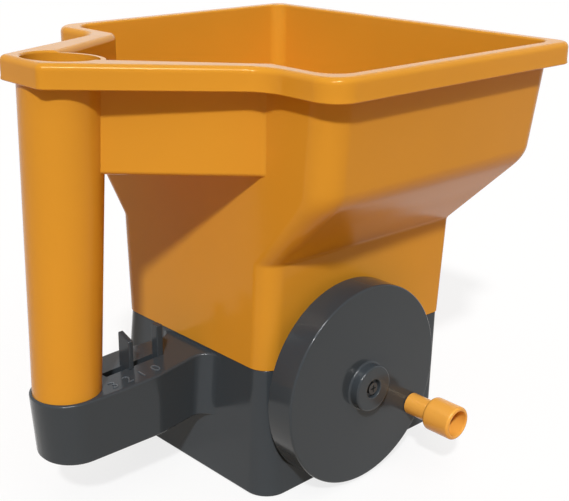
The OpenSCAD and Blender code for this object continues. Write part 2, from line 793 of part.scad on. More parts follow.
module gate_guide() {
    out = gate_half + slide_gap + guide_rail;
    color("dimgray") difference() {
        translate([patch_rear + 2, -out, guide_low])
            cube([patch_front - patch_rear - 4, 2 * out, floor_low - seat_gap / 2 - guide_low]);
        translate([patch_rear - 1, -gate_half - slide_gap, guide_top])
            cube([patch_front - patch_rear + 2, 2 * (gate_half + slide_gap), 20]);
        translate([outlet_x, -outlet_half, guide_low - 1]) cube([outlet_len, 2 * outlet_half, 20]);
        translate([0, 0, guide_low - 1]) cylinder(r = shaft_r + 1.5, h = 20);
        at_guide_screws() translate([0, 0, guide_low - 1]) cylinder(r = guide_screw_r + 0.2, h = 20);
    }
}

// Spring wire: rings of points round a coil along X
coil_rings = spring_turns * 8;
coil_mid = [for (k = [0 : coil_rings]) let (a = 45 * k)
    [-lug_x - lug_t - spring_wire / 2 - 0.2 - (spring_len - spring_wire - 0.4) * k / coil_rings,
        spring_r * cos(a), spring_z + spring_r * sin(a)]];
coil_pts = [for (k = [0 : coil_rings], j = [0 : 5]) let (a = 45 * k, b = 60 * j)
    coil_mid[k] + spring_wire / 2 * (cos(b) * [0, cos(a), sin(a)] + sin(b) * [1, 0, 0])];
coil_faces = concat([[5, 4, 3, 2, 1, 0]], [[for (j = [0 : 5]) coil_rings * 6 + j]],
    [for (k = [0 : coil_rings - 1], j = [0 : 5]) [k * 6 + j, k * 6 + (j + 1) % 6, k * 6 + 6 + (j + 1) % 6]],
    [for (k = [0 : coil_rings - 1], j = [0 : 5]) [k * 6 + j, k * 6 + 6 + (j + 1) % 6, k * 6 + 6 + j]]);
coil_gap = min([for (i = [0 : coil_rings], k = [i + 5 : 1 : coil_rings])
    norm(coil_mid[i] - coil_mid[k])]) - spring_wire;
echo(least_gap_of_the_spring = coil_gap);

module gate_spring() {
    color("silver") polyhedron(coil_pts, coil_faces);
}

// Fasteners

module screw(head_r, head_h, r, length) {
    cylinder(r = head_r, h = head_h);
    translate([0, 0, head_h - eps]) cylinder(r = r, h = length + eps);
}

module housing_screws() {
    color("silver") at_posts() translate([0, 0, head_z])
        screw(head_screw_r, head_screw_h, screw_r, post_top - head_z - head_screw_h - 2);
}

module guide_screws() {
    color("silver") at_guide_screws() translate([0, 0, guide_low - 1.8])
        screw(3, 1.8, guide_screw_r, floor_low + guide_boss_h - 2 - guide_low);
}

module cover_screws() {
    color("silver") for (x = cover_screw_x) translate([x, 0, arm_low + 0.1])
        screw(3, 1.3, guide_screw_r, cover_screw_len);
}

module handle_screw() {
    color("silver") leaned() translate([-grip_x, 0, grip_low - 3 - seat_gap - 2.2])
        screw(4, 2.2, screw_r, handle_screw_len);
}

hopper();
base_housing();
base_floor();
arm_cover();
gate_guide();
gate_slide();
flow_stop();
gate_spring();
crank_wheel();
crank_axle();
hub_washer();
hub_screw();
crank_knob();
knob_pin();
drive_pinion();
cross_shaft();
shaft_clip();
wall_bush();
inner_bush();
drive_bevel();
spinner_bevel();
spinner_shaft();
spinner_disc();
foot_bush();
thrust_washer();
top_bush();
agitator();
housing_screws();
guide_screws();
cover_screws();
handle_screw();
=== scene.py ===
import math

import bmesh
import bpy
from bpy.props import FloatProperty, FloatVectorProperty, IntProperty, PointerProperty
from mathutils import Matrix, Vector


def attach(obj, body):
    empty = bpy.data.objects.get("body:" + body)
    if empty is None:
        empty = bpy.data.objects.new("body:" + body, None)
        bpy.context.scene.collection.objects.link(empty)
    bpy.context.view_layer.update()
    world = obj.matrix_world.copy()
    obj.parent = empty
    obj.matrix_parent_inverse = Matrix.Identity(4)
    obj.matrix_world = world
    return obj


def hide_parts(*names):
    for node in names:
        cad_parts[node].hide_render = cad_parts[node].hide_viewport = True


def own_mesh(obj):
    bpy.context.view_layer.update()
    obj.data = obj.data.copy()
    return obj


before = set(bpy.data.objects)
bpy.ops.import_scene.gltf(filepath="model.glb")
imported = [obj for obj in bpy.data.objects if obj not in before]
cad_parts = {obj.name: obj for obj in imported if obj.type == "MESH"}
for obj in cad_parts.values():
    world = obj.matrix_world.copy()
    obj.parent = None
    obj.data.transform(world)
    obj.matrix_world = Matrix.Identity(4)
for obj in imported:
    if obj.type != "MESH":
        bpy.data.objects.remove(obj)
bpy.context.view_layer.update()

bl_info = {
    "name": "Handheld Seed Spreader",
    "version": (1, 0, 0),
    "blender": (4, 5, 0),
    "location": "View3D > Sidebar > Spreader",
    "description": "Models the mouldings of a handheld seed spreader around its packed frame",
    "category": "Object",
}

MM = 0.001

# Sizes and places named in capitals are in millimetres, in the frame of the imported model.
# X runs from the grip to the front, -Y to the crank's side.

# How far a cutting form reaches past the face that it opens
PAST = 8.0

# Hopper, from its spigot inside the base up to the rim
WALL = 2.5
FLOOR_LOW = 66.0
FLOOR_TOP = 68.5
SEAM_Z = 72.5
SEAM_CHAMFER = 0.35
FUNNEL_LOW_Z = 88.6
FUNNEL_Z = 92.0
NECK_Z = 132.0
BIN_Z = 171.5
RIM_Z = 235.0
SPIGOT_OUT = 3.6
SPIGOT_IN = 5.6
SPIGOT_LEDGE = 3.5

# The rim's outer band
LIP_H = 12.0
LIP_T = 2.2
LIP_TOE = 0.8
LIP_FOOT = 2.2
LIP_DRAFT_LOW = 0.25
LIP_DRAFT = 0.3
WALL_TOP = RIM_Z - 1.2

# Bridge and grip: the rim climbs and the grip leans behind the hinge line
REAR_X = -52.0
HINGE_X = -54.333
LEAN = math.radians(2.7)
BRIDGE_ROOT = 62.3
BRIDGE_TAIL = 12.0
BRIDGE_LOW = 179.3
BRIDGE_CLIMB = 0.012
BRIDGE_FRONT = -50.4
BRIDGE_FILLET = 4.5
BRIDGE_FLANGE = 1.45
BRIDGE_FLARE = 14.0
BAY_FRONT = -47.95
BAY_FILLET = 11.0
BAY_CORNER = 4.0
GRIP_X = -124.0
GRIP_LOW = 59.5
GRIP_R = 17.8
GRIP_GROWTH = 3.2
GRIP_FOOT = 6.0

# The outlet, the shaft's boss and the screw posts under the hopper's floor
OUTLET_LOW = (26, -11, 60)
OUTLET_HIGH = (42, 11, 74)
OUTLET_ROUND = 2.0
BOSS_R = 7.6
BOSS_TOP = 71.5
BUSH_R = 4.6
POST_PLACES = [(-42, -51, 0), (-42, 51, 0), (72, -58, 0), (72, 58, 0)]
POST_R = 5.0
SOCKET_R = 6.5
SOCKET_H = 12.2

# Base and arm
BASE_TOP = 72.4
GROUND_FRONT = 82.0
GROUND_REAR = -56.5
FRONT_LEAN = 2.4
REAR_LEAN = 5.1
SEAM_STEP = 0.6
ARM_TOP = 68.5
ARM_LOW = 33.7
ARM_BEND_X = -114.0
ARM_CLIMB = 0.036
ARM_FLARE = 27.0
ARM_FILLET = 9.0
ARM_ROOT_HALF = 14.6
ARM_HIP_X = -88.0
ARM_HIP_HALF = 20.3
ARM_HIP_ROUND = 30.0
ARM_END = -150.9
ARM_END_HALF = 19.4
ARM_END_ROUND = 18.8
ARM_DRAFT_ALONG = 0.025
ARM_DRAFT_ACROSS = 0.01
ARM_SPACE_X = -57.0
SLOT_LOW = (-109.5, -2.4, 64)
SLOT_HIGH = (-71.5, 2.4, 74)
GATE_WAY_LOW = (-60, -9.3, 62.4)
GATE_WAY_HIGH = (-45.5, 9.3, 66)
MOUTH_HALF = 46.0
MOUTH_LOW = 30.0
MOUTH_HIGH = 57.0
MOUTH_ROUND = 5.0

# Seats in the base's near wall, as distances from the middle plane
NEAR_WALL = (50, 80)
AXLE_SEAT_R = 7.2
AXLE_SEAT_IN = 58.4
AXLE_SEAT_OUT = 69.5
AXLE_HOLE_R = 4.0
BUSH_SEAT_IN = 59.5
BUSH_SEAT_OUT = 68.0

# Crank wheel and knob
CRANK_Z = 58.5
CROSS_Z = 16.5
WHEEL_R = 56.5
WHEEL_BACK = 70.5
WHEEL_FACE = 87.3
DRUM_R = 53.175
RING_TEETH = 68
TOOTH_SIZE = 1.5
HUB_R = 13.0
HUB_FACE = 93.3
HUB_SEAT = 90.1
HUB_HOLE_R = 5.2
AXLE_R = 4.05
SLEEVE_R = 10.0
CRANK_ARM = 46.0
KNOB_ANGLE = math.radians(32)
KNOB_X = CRANK_ARM * math.cos(KNOB_ANGLE)
KNOB_Z = CRANK_Z - CRANK_ARM * math.sin(KNOB_ANGLE)
WHEEL_WEB = (80, 92)
PIN_HOLE_R = 2.5
KNOB_STEM_R = 6.2
KNOB_GRIP_R = 9.6
KNOB_CUP_R = 7.3
KNOB_PIN_R = 2.55
KNOB_NECK = WHEEL_FACE + 17
KNOB_TIP = WHEEL_FACE + 34

# Gate, flow stop and spring
SLIDE_LOW = 62.7
SLIDE_TOP = 65.7
SLIDE_HALF = 9.0
GATE_TRAVEL = 17.0
GATE_BACK = -76.1
GATE_TAB_FRONT = -72.0
GATE_FRONT = 44.0
PAN_BACK = -30.0
PAN_HALF = 14.0
STEM_HALF = 2.1
TAB_LOW = 68.8
GATE_TAB_HALF = 2.6
GATE_TAB_TOP = 88.0
STOP_BACK = -100.7
STOP_FRONT = -93.2
STOP_TAB_BACK = -96.2
STOP_TAB_HALF = 4.8
STOP_TAB_TOP = 88.7
STOP_TAB_FALL = 3.3
SHAFT_ROOM = 4.5
LUG_HALF = 5.0
LUG_BACK = -67.0
LUG_FRONT = -64.0
LUG_LOW = 53.9
SPRING_R = 4.0
SPRING_WIRE = 1.0
SPRING_TURNS = 9
SPRING_SEAT = -97.0
SPRING_Z = 57.7
SPRING_ROOM = 0.2

# Flow marks beside the slot
MARK_X = -85.0
MARK_PITCH = 9.0
MARK_Y = -13.0
MARK_COUNT = 4
MARK_TYPE_SIZE = 1.42
MARK_EDGE = 0.12
MARK_THINNING = 0.22

# Camera: turn about the upright axis, rise over the floor, roll, aim and distance
CAMERA_TURN = math.radians(-43.55)
CAMERA_RISE = math.radians(19.583)
CAMERA_ROLL = math.radians(0.6)
CAMERA_AIM = Vector((37.943, 17.646, 99.048))
CAMERA_BACK = 657.15
CAMERA_FOCUS_PX = 1060.874
PHOTO_WIDTH_PX = 569
SENSOR_WIDTH = 36.0

# Lamps: name, direction of travel, width in degrees, power, lights matte, lights gloss
LAMPS = [
    ("key_lamp", (0.76, 0.72, -1), 4, 2.5, True, True),
    ("top_lamp", (0.1, 0.4, -1), 60, 0.75, True, False),
    ("back_lamp", (-0.7, -0.75, -0.24), 40, 1.3, True, False),
    ("edge_lamp", (0.33, 0.78, -1), 14, 3.2, False, True),
]

# Floor and sky
FLOOR_SIZE = 9000.0
FLOOR_DROP = 0.4
FLOOR_BOUNCE = (0.52, 0.36, 0.21, 1)
FLOOR_PALE = (0.97, 0.97, 0.97, 1)
FLOOR_WHITE_SHARE = 0.8
SKY_COLOUR = (1, 0.86, 0.72, 1)
SKY_STRENGTH = 0.19


class SpreaderSizes(bpy.types.PropertyGroup):
    """Sizes of the mouldings' edges and marks"""

    lip_round: FloatProperty(
        name="Lip Round", description="Radius of the rim's outer top edge",
        default=0.0032, min=0.0005, max=0.0035, unit="LENGTH")
    mouth_round: FloatProperty(
        name="Inner Edge Round", description="Radius of the rim's inner edge round the bin and the bore",
        default=0.0013, min=0.0004, max=0.002, unit="LENGTH")
    bay_round: FloatProperty(
        name="Bay Edge Round", description="Radius of the rim's inner edge round the bay before the grip",
        default=0.0034, min=0.0004, max=0.0045, unit="LENGTH")
    shoulder_round: FloatProperty(
        name="Shoulder Round", description="Length of the round where the bin turns into the slope",
        default=0.006, min=0.001, max=0.0075, unit="LENGTH")
    neck_round: FloatProperty(
        name="Neck Round", description="Length of the round where the slope turns into the neck",
        default=0.0014, min=0.0005, max=0.006, unit="LENGTH")
    bridge_round: FloatProperty(
        name="Bridge Round", description="Radius of the bridge's lower edge",
        default=0.0022, min=0.0005, max=0.005, unit="LENGTH")
    base_round: FloatProperty(
        name="Base Round", description="Radius of the edges of the base and its arm",
        default=0.0013, min=0.0004, max=0.003, unit="LENGTH")
    wheel_round: FloatProperty(
        name="Wheel Round", description="Radius of the outer edges of the crank wheel and its hub",
        default=0.0011, min=0.0004, max=0.002, unit="LENGTH")
    mark_height: FloatProperty(
        name="Mark Height", description="Height of the flow marks on the arm",
        default=0.0068, min=0.004, max=0.009, unit="LENGTH")
    mark_relief: FloatProperty(
        name="Mark Relief", description="How far the flow marks stand up from the arm",
        default=0.0003, min=0.0002, max=0.001, unit="LENGTH")
    around: IntProperty(
        name="Steps Round", description="Steps round the grip, the wheel and the knob",
        default=128, min=48, max=256)


class SpreaderColours(bpy.types.PropertyGroup):
    """Colours of the mouldings and the metal"""

    hopper: FloatVectorProperty(
        name="Hopper", description="Colour of the hopper and its grip",
        default=(0.70, 0.31, 0.027), size=3, min=0, max=1, subtype="COLOR")
    knob: FloatVectorProperty(
        name="Knob", description="Colour of the crank's knob",
        default=(0.81, 0.385, 0.066), size=3, min=0, max=1, subtype="COLOR")
    base: FloatVectorProperty(
        name="Base", description="Colour of the base, the wheel and the tabs",
        default=(0.044, 0.053, 0.062), size=3, min=0, max=1, subtype="COLOR")
    gears: FloatVectorProperty(
        name="Gears", description="Colour of the gears and the spinner",
        default=(0.66, 0.64, 0.58), size=3, min=0, max=1, subtype="COLOR")
    bushes: FloatVectorProperty(
        name="Bushes", description="Colour of the sintered bushes",
        default=(0.50, 0.36, 0.17), size=3, min=0, max=1, subtype="COLOR")
    steel: FloatVectorProperty(
        name="Steel", description="Colour of the shafts, screws and spring",
        default=(0.56, 0.57, 0.58), size=3, min=0, max=1, subtype="COLOR")


# Outlines and rings


def mirrored(half):
    """The half outline with its mirror image, from the front left round the rear to the front right."""
    return half + [(x, -y) for x, y in reversed(half)]


def both(half):
    """The radii of a mirrored outline from those of its half."""
    return half + list(reversed(half))


def arc(swing, steps):
    """Evenly spaced angles from nought to swing."""
    return [swing * k / steps for k in range(steps + 1)]


def outline(corners, radii, inset=0.0, steps=12):
    """A closed plan outline with rounded corners, moved inwards by inset."""
    points = [Vector(c) for c in corners]
    count = len(points)
    edges = [(points[(i + 1) % count] - points[i]).normalized() for i in range(count)]
    sides = [Vector((-e.y, e.x)) for e in edges]
    moved = []
    for i in range(count):
        step = (sides[i - 1] + sides[i]) * (inset / (1 + sides[i - 1].dot(sides[i])))
        moved.append(points[i] + step)
    loop = []
    for i, corner in enumerate(moved):
        convex = edges[i - 1].cross(edges[i]) > 0
        radius = max(0.3, radii[i] + (-inset if convex else inset))
        before = (moved[i - 1] - corner).normalized()
        after = (moved[(i + 1) % count] - corner).normalized()
        half = before.angle(after) / 2
        centre = corner + (before + after).normalized() * (radius / math.sin(half))
        first = corner + before * (radius / math.tan(half)) - centre
        last = corner + after * (radius / math.tan(half)) - centre
        start = math.atan2(first.y, first.x)
        swing = (math.atan2(last.y, last.x) - start + 3 * math.pi) % (2 * math.pi) - math.pi
        for k in range(steps + 1):
            angle = start + swing * k / steps
            loop.append(centre + radius * Vector((math.cos(angle), math.sin(angle))))
    return loop


def at_height(loop, z):
    """A plan outline as a ring at a height."""
    return [Vector((p.x, p.y, z)) for p in loop]


def mixed(a, b, t):
    """A loop part of the way from one loop to another."""
    return [(1 - t) * p + t * q for p, q in zip(a, b)]


def climb(points):
    """Behind the hinge line the rim climbs towards the grip."""
    return [Vector((p.x, p.y, p.z + max(0.0, HINGE_X - p.x) * math.tan(LEAN))) for p in points]


def raised(points):
    """The bridge's underside rises a little more than the rim towards the grip."""
    return [Vector((p.x, p.y, p.z + max(0.0, HINGE_X - p.x) * BRIDGE_CLIMB)) for p in points]


def lean(points):
    """The grip leans about the hinge line."""
    c, s = math.cos(LEAN), math.sin(LEAN)
    turned = []
    for p in points:
        x, z = p.x - HINGE_X, p.z - RIM_Z
        turned.append(Vector((x * c + z * s + HINGE_X, p.y, -x * s + z * c + RIM_Z)))
    return turned


def ring_flat(x, y, radius, z, steps):
    """A level circle of points."""
    angles = [2 * math.pi * k / steps for k in range(steps)]
    return [Vector((x + radius * math.cos(a), y + radius * math.sin(a), z)) for a in angles]


def ring_upright(x, z, radius, y, steps):
    """A circle of points that faces the crank's side."""
    angles = [2 * math.pi * k / steps for k in range(steps)]
    return [Vector((x + radius * math.cos(a), y, z + radius * math.sin(a))) for a in angles]


def quarter(radius, steps=6):
    """Offsets (inwards, along) of a rounded edge, from the face to the flank."""
    return [(radius * (1 - math.sin(a)), radius * (1 - math.cos(a))) for a in arc(math.pi / 2, steps)]


def opening_edge(radius):
    """Offsets (inwards, along) of the rounded edge where an opening meets the rim's top."""
    return reversed([(radius - inward, along) for inward, along in quarter(radius)])


RIM = mirrored([(126, 118), (-59, 115), (-59, 71), (-147, 17.5)])
RIM_RADII = both([9, 15, 20, 5])
NECK_RADII = both([4, 12])
BIN_RADII = both([11, 15])
LEVELS = [
    (SEAM_Z, mirrored([(85, 68.4), (REAR_X, 62.4)]), NECK_RADII),
    (NECK_Z, mirrored([(86, 71), (REAR_X, 65)]), NECK_RADII),
    (BIN_Z, mirrored([(113.5, 105.5), (REAR_X, 102.5)]), BIN_RADII),
    (RIM_Z, mirrored([(119, 111), (REAR_X, 108)]), BIN_RADII),
]
SEAM = LEVELS[0][1]
FUNNEL_FOOT = mirrored([(50, 26), (-26, 26)])
FUNNEL_FOOT_RADII = both([8, 8])
GROUND = mirrored([(GROUND_FRONT, 68.5), (GROUND_REAR, 68.5)])
GROUND_RADII = both([4, 14])

# Heights between a moulding's ends, where its leaning walls get rings
BASE_STEPS = [BASE_TOP * k / 12 for k in range(1, 12)]
SLOPE_STEPS = [NECK_Z + (BIN_Z - NECK_Z) * k / 5 for k in range(1, 5)]


def hopper_ring(z, inset=0.0, steps=16):
    """The hopper's outline at a height."""
    low, high = LEVELS[0], LEVELS[1]
    for k in range(len(LEVELS) - 1):
        if z >= LEVELS[k][0]:
            low, high = LEVELS[k], LEVELS[k + 1]
    t = (z - low[0]) / (high[0] - low[0])
    below = outline(low[1], low[2], inset, steps)
    above = outline(high[1], high[2], inset, steps)
    return at_height(mixed(below, above, t), z)


def rounded_crease(z, reach, inset, steps=8):
    """Rings that turn smoothly from the wall below a crease into the wall above it."""
    low, mid, high = (hopper_ring(h, inset) for h in (z - reach, z, z + reach))
    rings = []
    for k in range(steps + 1):
        t = k / steps
        rings.append([(1 - t) ** 2 * a + 2 * t * (1 - t) * b + t * t * c for a, b, c in zip(low, mid, high)])
    return rings


def seam_ring(inset, z, steps=16):
    """The hopper's outline at the seam, moved inwards and set at a height."""
    return at_height(outline(SEAM, NECK_RADII, inset, steps), z)


def funnel_foot(inset, z, steps=16):
    """The funnel's outline on the hopper's floor."""
    return at_height(outline(FUNNEL_FOOT, FUNNEL_FOOT_RADII, inset, steps), z)


def base_ring(z, inset=0.0, steps=16):
    """The base's outline at a height."""
    low = outline(GROUND, GROUND_RADII, inset, steps)
    high = outline(SEAM, NECK_RADII, inset + SEAM_STEP, steps)
    return at_height(mixed(low, high, z / BASE_TOP), z)


def arm_ring(z, inset=0.0, steps=10):
    """The arm's outline at a height: it draws in towards its underside."""
    wall = GROUND_REAR + REAR_LEAN * z / BASE_TOP
    corners = mirrored([(wall + 2, ARM_FLARE), (wall + 0.1, ARM_FLARE), (wall - 0.3, ARM_ROOT_HALF),
                        (ARM_HIP_X, ARM_HIP_HALF), (ARM_END, ARM_END_HALF)])
    radii = both([0.3, 0.3, ARM_FILLET, ARM_HIP_ROUND, ARM_END_ROUND])
    down = 1 - (z - ARM_LOW) / (ARM_TOP - ARM_LOW)
    along = 1 - ARM_DRAFT_ALONG * down
    across = 1 - ARM_DRAFT_ACROSS * down
    loop = outline(corners, radii, inset, steps)
    return [Vector(((p.x - wall) * along + wall, p.y * across, z)) for p in loop]


def arm_rise(x):
    """How far the arm's top climbs from the grip towards the base."""
    return max(0.0, x - ARM_BEND_X) * ARM_CLIMB


def bridge_ring(z, inset, front, fillet, steps=10):
    """The bridge's outline: two walls from the rear wall to the grip, with a fillet at the rear wall."""
    slope = (BRIDGE_ROOT - BRIDGE_TAIL) / (REAR_X - GRIP_X)
    shift = inset * math.hypot(1, slope)
    flange = front - BRIDGE_FLANGE
    root_half = BRIDGE_ROOT + (flange - REAR_X) * slope - shift
    tail_half = BRIDGE_ROOT + (GRIP_X - REAR_X) * slope - shift
    flare = root_half + BRIDGE_FLARE
    corners = mirrored([(front, flare), (flange, flare), (flange, root_half), (GRIP_X, tail_half)])
    return climb(at_height(outline(corners, both([0.3, 0.3, fillet, 0.3]), 0.0, steps), z))


def grip_radius(z):
    """The grip's outer radius, which grows towards the rim."""
    return GRIP_R + (z - ARM_TOP) * GRIP_GROWTH / (RIM_Z - ARM_TOP)


def grip_ring(radius, z, steps):
    """A circle of points round the leaning grip."""
    return lean(ring_flat(GRIP_X, 0, radius, z, steps))


# Modelling steps


def clear():
    """Goes to object mode with nothing selected."""
    if bpy.context.mode != "OBJECT":
        bpy.ops.object.mode_set(mode="OBJECT")
    bpy.ops.object.select_all(action="DESELECT")


def pick(piece):
    """Selects one piece alone."""
    clear()
    piece.select_set(True)
    bpy.context.view_layer.objects.active = piece


def edit_all(piece):
    """Opens one piece in edit mode with all of it selected."""
    pick(piece)
    bpy.ops.object.mode_set(mode="EDIT")
    bpy.ops.mesh.select_all(action="SELECT")


def name_piece(piece, name):
    """Names a piece and its mesh alike."""
    piece.name = name
    piece.data.name = name


def draw_through(name, rings, ends="CAP"):
    """Extrudes a ring of edges through the rings given, then caps its ends or joins the last to the first."""
    clear()
    count = len(rings[0])
    bpy.ops.mesh.primitive_circle_add(vertices=count, radius=0.02, fill_type="NOTHING")
    piece = bpy.context.object
    name_piece(piece, name)
    bpy.ops.object.mode_set(mode="EDIT")
    bpy.ops.mesh.select_mode(type="EDGE")
    bpy.ops.mesh.select_all(action="SELECT")
    path = rings + [rings[0]] if ends == "JOIN" else rings
    current = list(range(count))
    for number, ring in enumerate(path):
        if number:
            bpy.ops.mesh.extrude_edges_indiv()
        mesh = bmesh.from_edit_mesh(piece.data)
        mesh.verts.ensure_lookup_table()
        mesh.verts.index_update()
        if number:
            current = [next(e.other_vert(mesh.verts[i]).index for e in mesh.verts[i].link_edges
                            if e.other_vert(mesh.verts[i]).select) for i in current]
        for i, point in zip(current, ring):
            mesh.verts[i].co = point * MM
        bmesh.update_edit_mesh(piece.data)
    if ends == "CAP":
        bpy.ops.mesh.edge_face_add()
        bpy.ops.mesh.select_all(action="DESELECT")
        mesh = bmesh.from_edit_mesh(piece.data)
        for edge in mesh.edges:
            edge.select_set(edge.is_boundary)
        bmesh.update_edit_mesh(piece.data)
        bpy.ops.mesh.edge_face_add()
    bpy.ops.mesh.select_all(action="SELECT")
    bpy.ops.mesh.remove_doubles(threshold=2e-6)
    bpy.ops.mesh.vert_connect_nonplanar(angle_limit=math.radians(0.02))
    bpy.ops.mesh.normals_make_consistent(inside=False)
    clear()
    return piece


def work(piece, other, operation):
    """Cuts another form away from a piece, or fuses it on."""
    pick(piece)
    step = piece.modifiers.new(operation.title(), "BOOLEAN")
    step.operation = operation
    step.solver = "EXACT"
    step.object = other
    bpy.ops.object.modifier_apply(modifier=step.name)
    bpy.data.objects.remove(other)
    if not piece.data.polygons:
        raise RuntimeError(f"{piece.name} has no faces left")


def cut(piece, other):
    """Cuts another form away from a piece."""
    work(piece, other, "DIFFERENCE")


def fuse(piece, other):
    """Fuses another form onto a piece."""
    work(piece, other, "UNION")


def copies(first, places):
    """Joins copies of a form, each with its own mesh, moved to the places given in millimetres."""
    made = [first]
    while len(made) < len(places):
        twin = first.copy()
        twin.data = first.data.copy()
        bpy.context.scene.collection.objects.link(twin)
        made.append(twin)
    for form, place in zip(made, places):
        form.data.transform(Matrix.Translation(Vector(place) * MM))
    clear()
    for form in made:
        form.select_set(True)
    bpy.context.view_layer.objects.active = first
    bpy.ops.object.join()
    clear()
    return first


def block(name, low, high, radius=0.0):
    """A block between two corners in millimetres, its upright edges rounded."""
    clear()
    low, high = Vector(low), Vector(high)
    bpy.ops.mesh.primitive_cube_add(size=1, location=(low + high) / 2 * MM)
    piece = bpy.context.object
    name_piece(piece, name)
    piece.scale = (high - low) * MM
    bpy.ops.object.transform_apply(location=True, rotation=True, scale=True)
    if radius:
        bpy.ops.object.mode_set(mode="EDIT")
        bpy.ops.mesh.select_mode(type="EDGE")
        bpy.ops.mesh.select_all(action="DESELECT")
        mesh = bmesh.from_edit_mesh(piece.data)
        for edge in mesh.edges:
            run = edge.verts[0].co - edge.verts[1].co
            edge.select_set(abs(run.z) > 0.9 * run.length)
        bmesh.update_edit_mesh(piece.data)
        bpy.ops.mesh.bevel(offset=radius * MM, segments=5, affect="EDGES")
    clear()
    return piece


def part_faces(piece):
    """Parts the faces at the middle plane, so that no face runs all round an opening."""
    edit_all(piece)
    bpy.ops.mesh.bisect(plane_co=(0, 0, 0), plane_no=(0, 1, 0))
    clear()


def smooth(piece, angle=32):
    """Smooths the round faces and keeps the flat ones flat."""
    edit_all(piece)
    bpy.ops.mesh.remove_doubles(threshold=3e-6)
    bpy.ops.mesh.dissolve_degenerate(threshold=2e-6)
    bpy.ops.object.mode_set(mode="OBJECT")
    bpy.ops.object.shade_smooth_by_angle(angle=math.radians(angle))
    step = piece.modifiers.new("Flat Faces", "WEIGHTED_NORMAL")
    step.keep_sharp = True
    bpy.ops.object.modifier_apply(modifier=step.name)
    clear()


def hand_over(piece, name, finish, body, slot, *stands_for):
    """Gives a finished piece its name, its finish and its body, and hides the nodes it stands for."""
    name_piece(piece, name)
    piece.data.materials.clear()
    piece.data.materials.append(finish)
    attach(piece, body)
    if stands_for:
        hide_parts(*stands_for)


# Finishes


def nodes_of(name):
    """A new material with its shader, and the place of each point on its piece."""
    finish = bpy.data.materials.new(name)
    finish.use_nodes = True
    tree = finish.node_tree
    tree.nodes.clear()
    out = tree.nodes.new("ShaderNodeOutputMaterial")
    shader = tree.nodes.new("ShaderNodeBsdfPrincipled")
    tree.links.new(shader.outputs["BSDF"], out.inputs["Surface"])
    place = tree.nodes.new("ShaderNodeTexCoord").outputs["Object"]
    return finish, tree, shader, place


def noise(tree, place, scale, detail=2.0):
    """A cloudy value that varies over a piece."""
    node = tree.nodes.new("ShaderNodeTexNoise")
    node.inputs["Scale"].default_value = scale
    node.inputs["Detail"].default_value = detail
    node.inputs["Roughness"].default_value = 0.5
    tree.links.new(place, node.inputs["Vector"])
    return node.outputs["Fac"]


def ramp(tree, value, dark, light):
    """A colour between two shades, as the value goes."""
    node = tree.nodes.new("ShaderNodeValToRGB")
    for element, position, colour in zip(node.color_ramp.elements, (0.3, 0.7), (dark, light)):
        element.position = position
        element.color = (*colour, 1)
    tree.links.new(value, node.inputs["Fac"])
    return node.outputs["Color"]


def spread(tree, value, low, high):
    """A number between low and high, as the value goes."""
    node = tree.nodes.new("ShaderNodeMapRange")
    node.inputs["To Min"].default_value = low
    node.inputs["To Max"].default_value = high
    node.inputs["From Min"].default_value = 0.3
    node.inputs["From Max"].default_value = 0.7
    tree.links.new(value, node.inputs["Value"])
    return node.outputs["Result"]


def bumped(tree, shader, *layers):
    """Stacks bump layers: (height, strength, distance in metres)."""
    normal = None
    for height, strength, distance in layers:
        node = tree.nodes.new("ShaderNodeBump")
        node.inputs["Strength"].default_value = strength
        node.inputs["Distance"].default_value = distance
        tree.links.new(height, node.inputs["Height"])
        if normal:
            tree.links.new(normal, node.inputs["Normal"])
        normal = node.outputs["Normal"]
    tree.links.new(normal, shader.inputs["Normal"])


def shade(colour, by):
    """A colour made lighter or darker."""
    return tuple(min(1.0, c * by) for c in colour)


def moulded_plastic(name, colour, rough, grain, waves, gloss, sheen=(1, 1, 1)):
    """Injection-moulded plastic: slow colour drift, flow waves and a fine tool grain, in metres."""
    finish, tree, shader, place = nodes_of(name)
    drift = noise(tree, place, 9.0, 3.0)
    fine = noise(tree, place, 2600.0)
    wave = noise(tree, place, 38.0)
    tree.links.new(ramp(tree, drift, shade(colour, 0.965), shade(colour, 1.035)), shader.inputs["Base Color"])
    tree.links.new(spread(tree, wave, rough - 0.035, rough + 0.035), shader.inputs["Roughness"])
    shader.inputs["Specular IOR Level"].default_value = gloss
    shader.inputs["Specular Tint"].default_value = (*sheen, 1)
    shader.inputs["IOR"].default_value = 1.49
    bumped(tree, shader, (wave, 0.25, waves), (fine, 0.3, grain))
    return finish


def bare_metal(name, colour, rough):
    """Drawn or plated metal with a fine lie."""
    finish, tree, shader, place = nodes_of(name)
    lie = noise(tree, place, 900.0, 3.0)
    tone = noise(tree, place, 140.0)
    tree.links.new(ramp(tree, tone, shade(colour, 0.9), shade(colour, 1.08)), shader.inputs["Base Color"])
    tree.links.new(spread(tree, lie, rough - 0.06, rough + 0.08), shader.inputs["Roughness"])
    shader.inputs["Metallic"].default_value = 1.0
    bumped(tree, shader, (lie, 0.2, 0.00003))
    return finish


WARM_SHEEN = (1, 0.8, 0.5)
FINISHES = {}


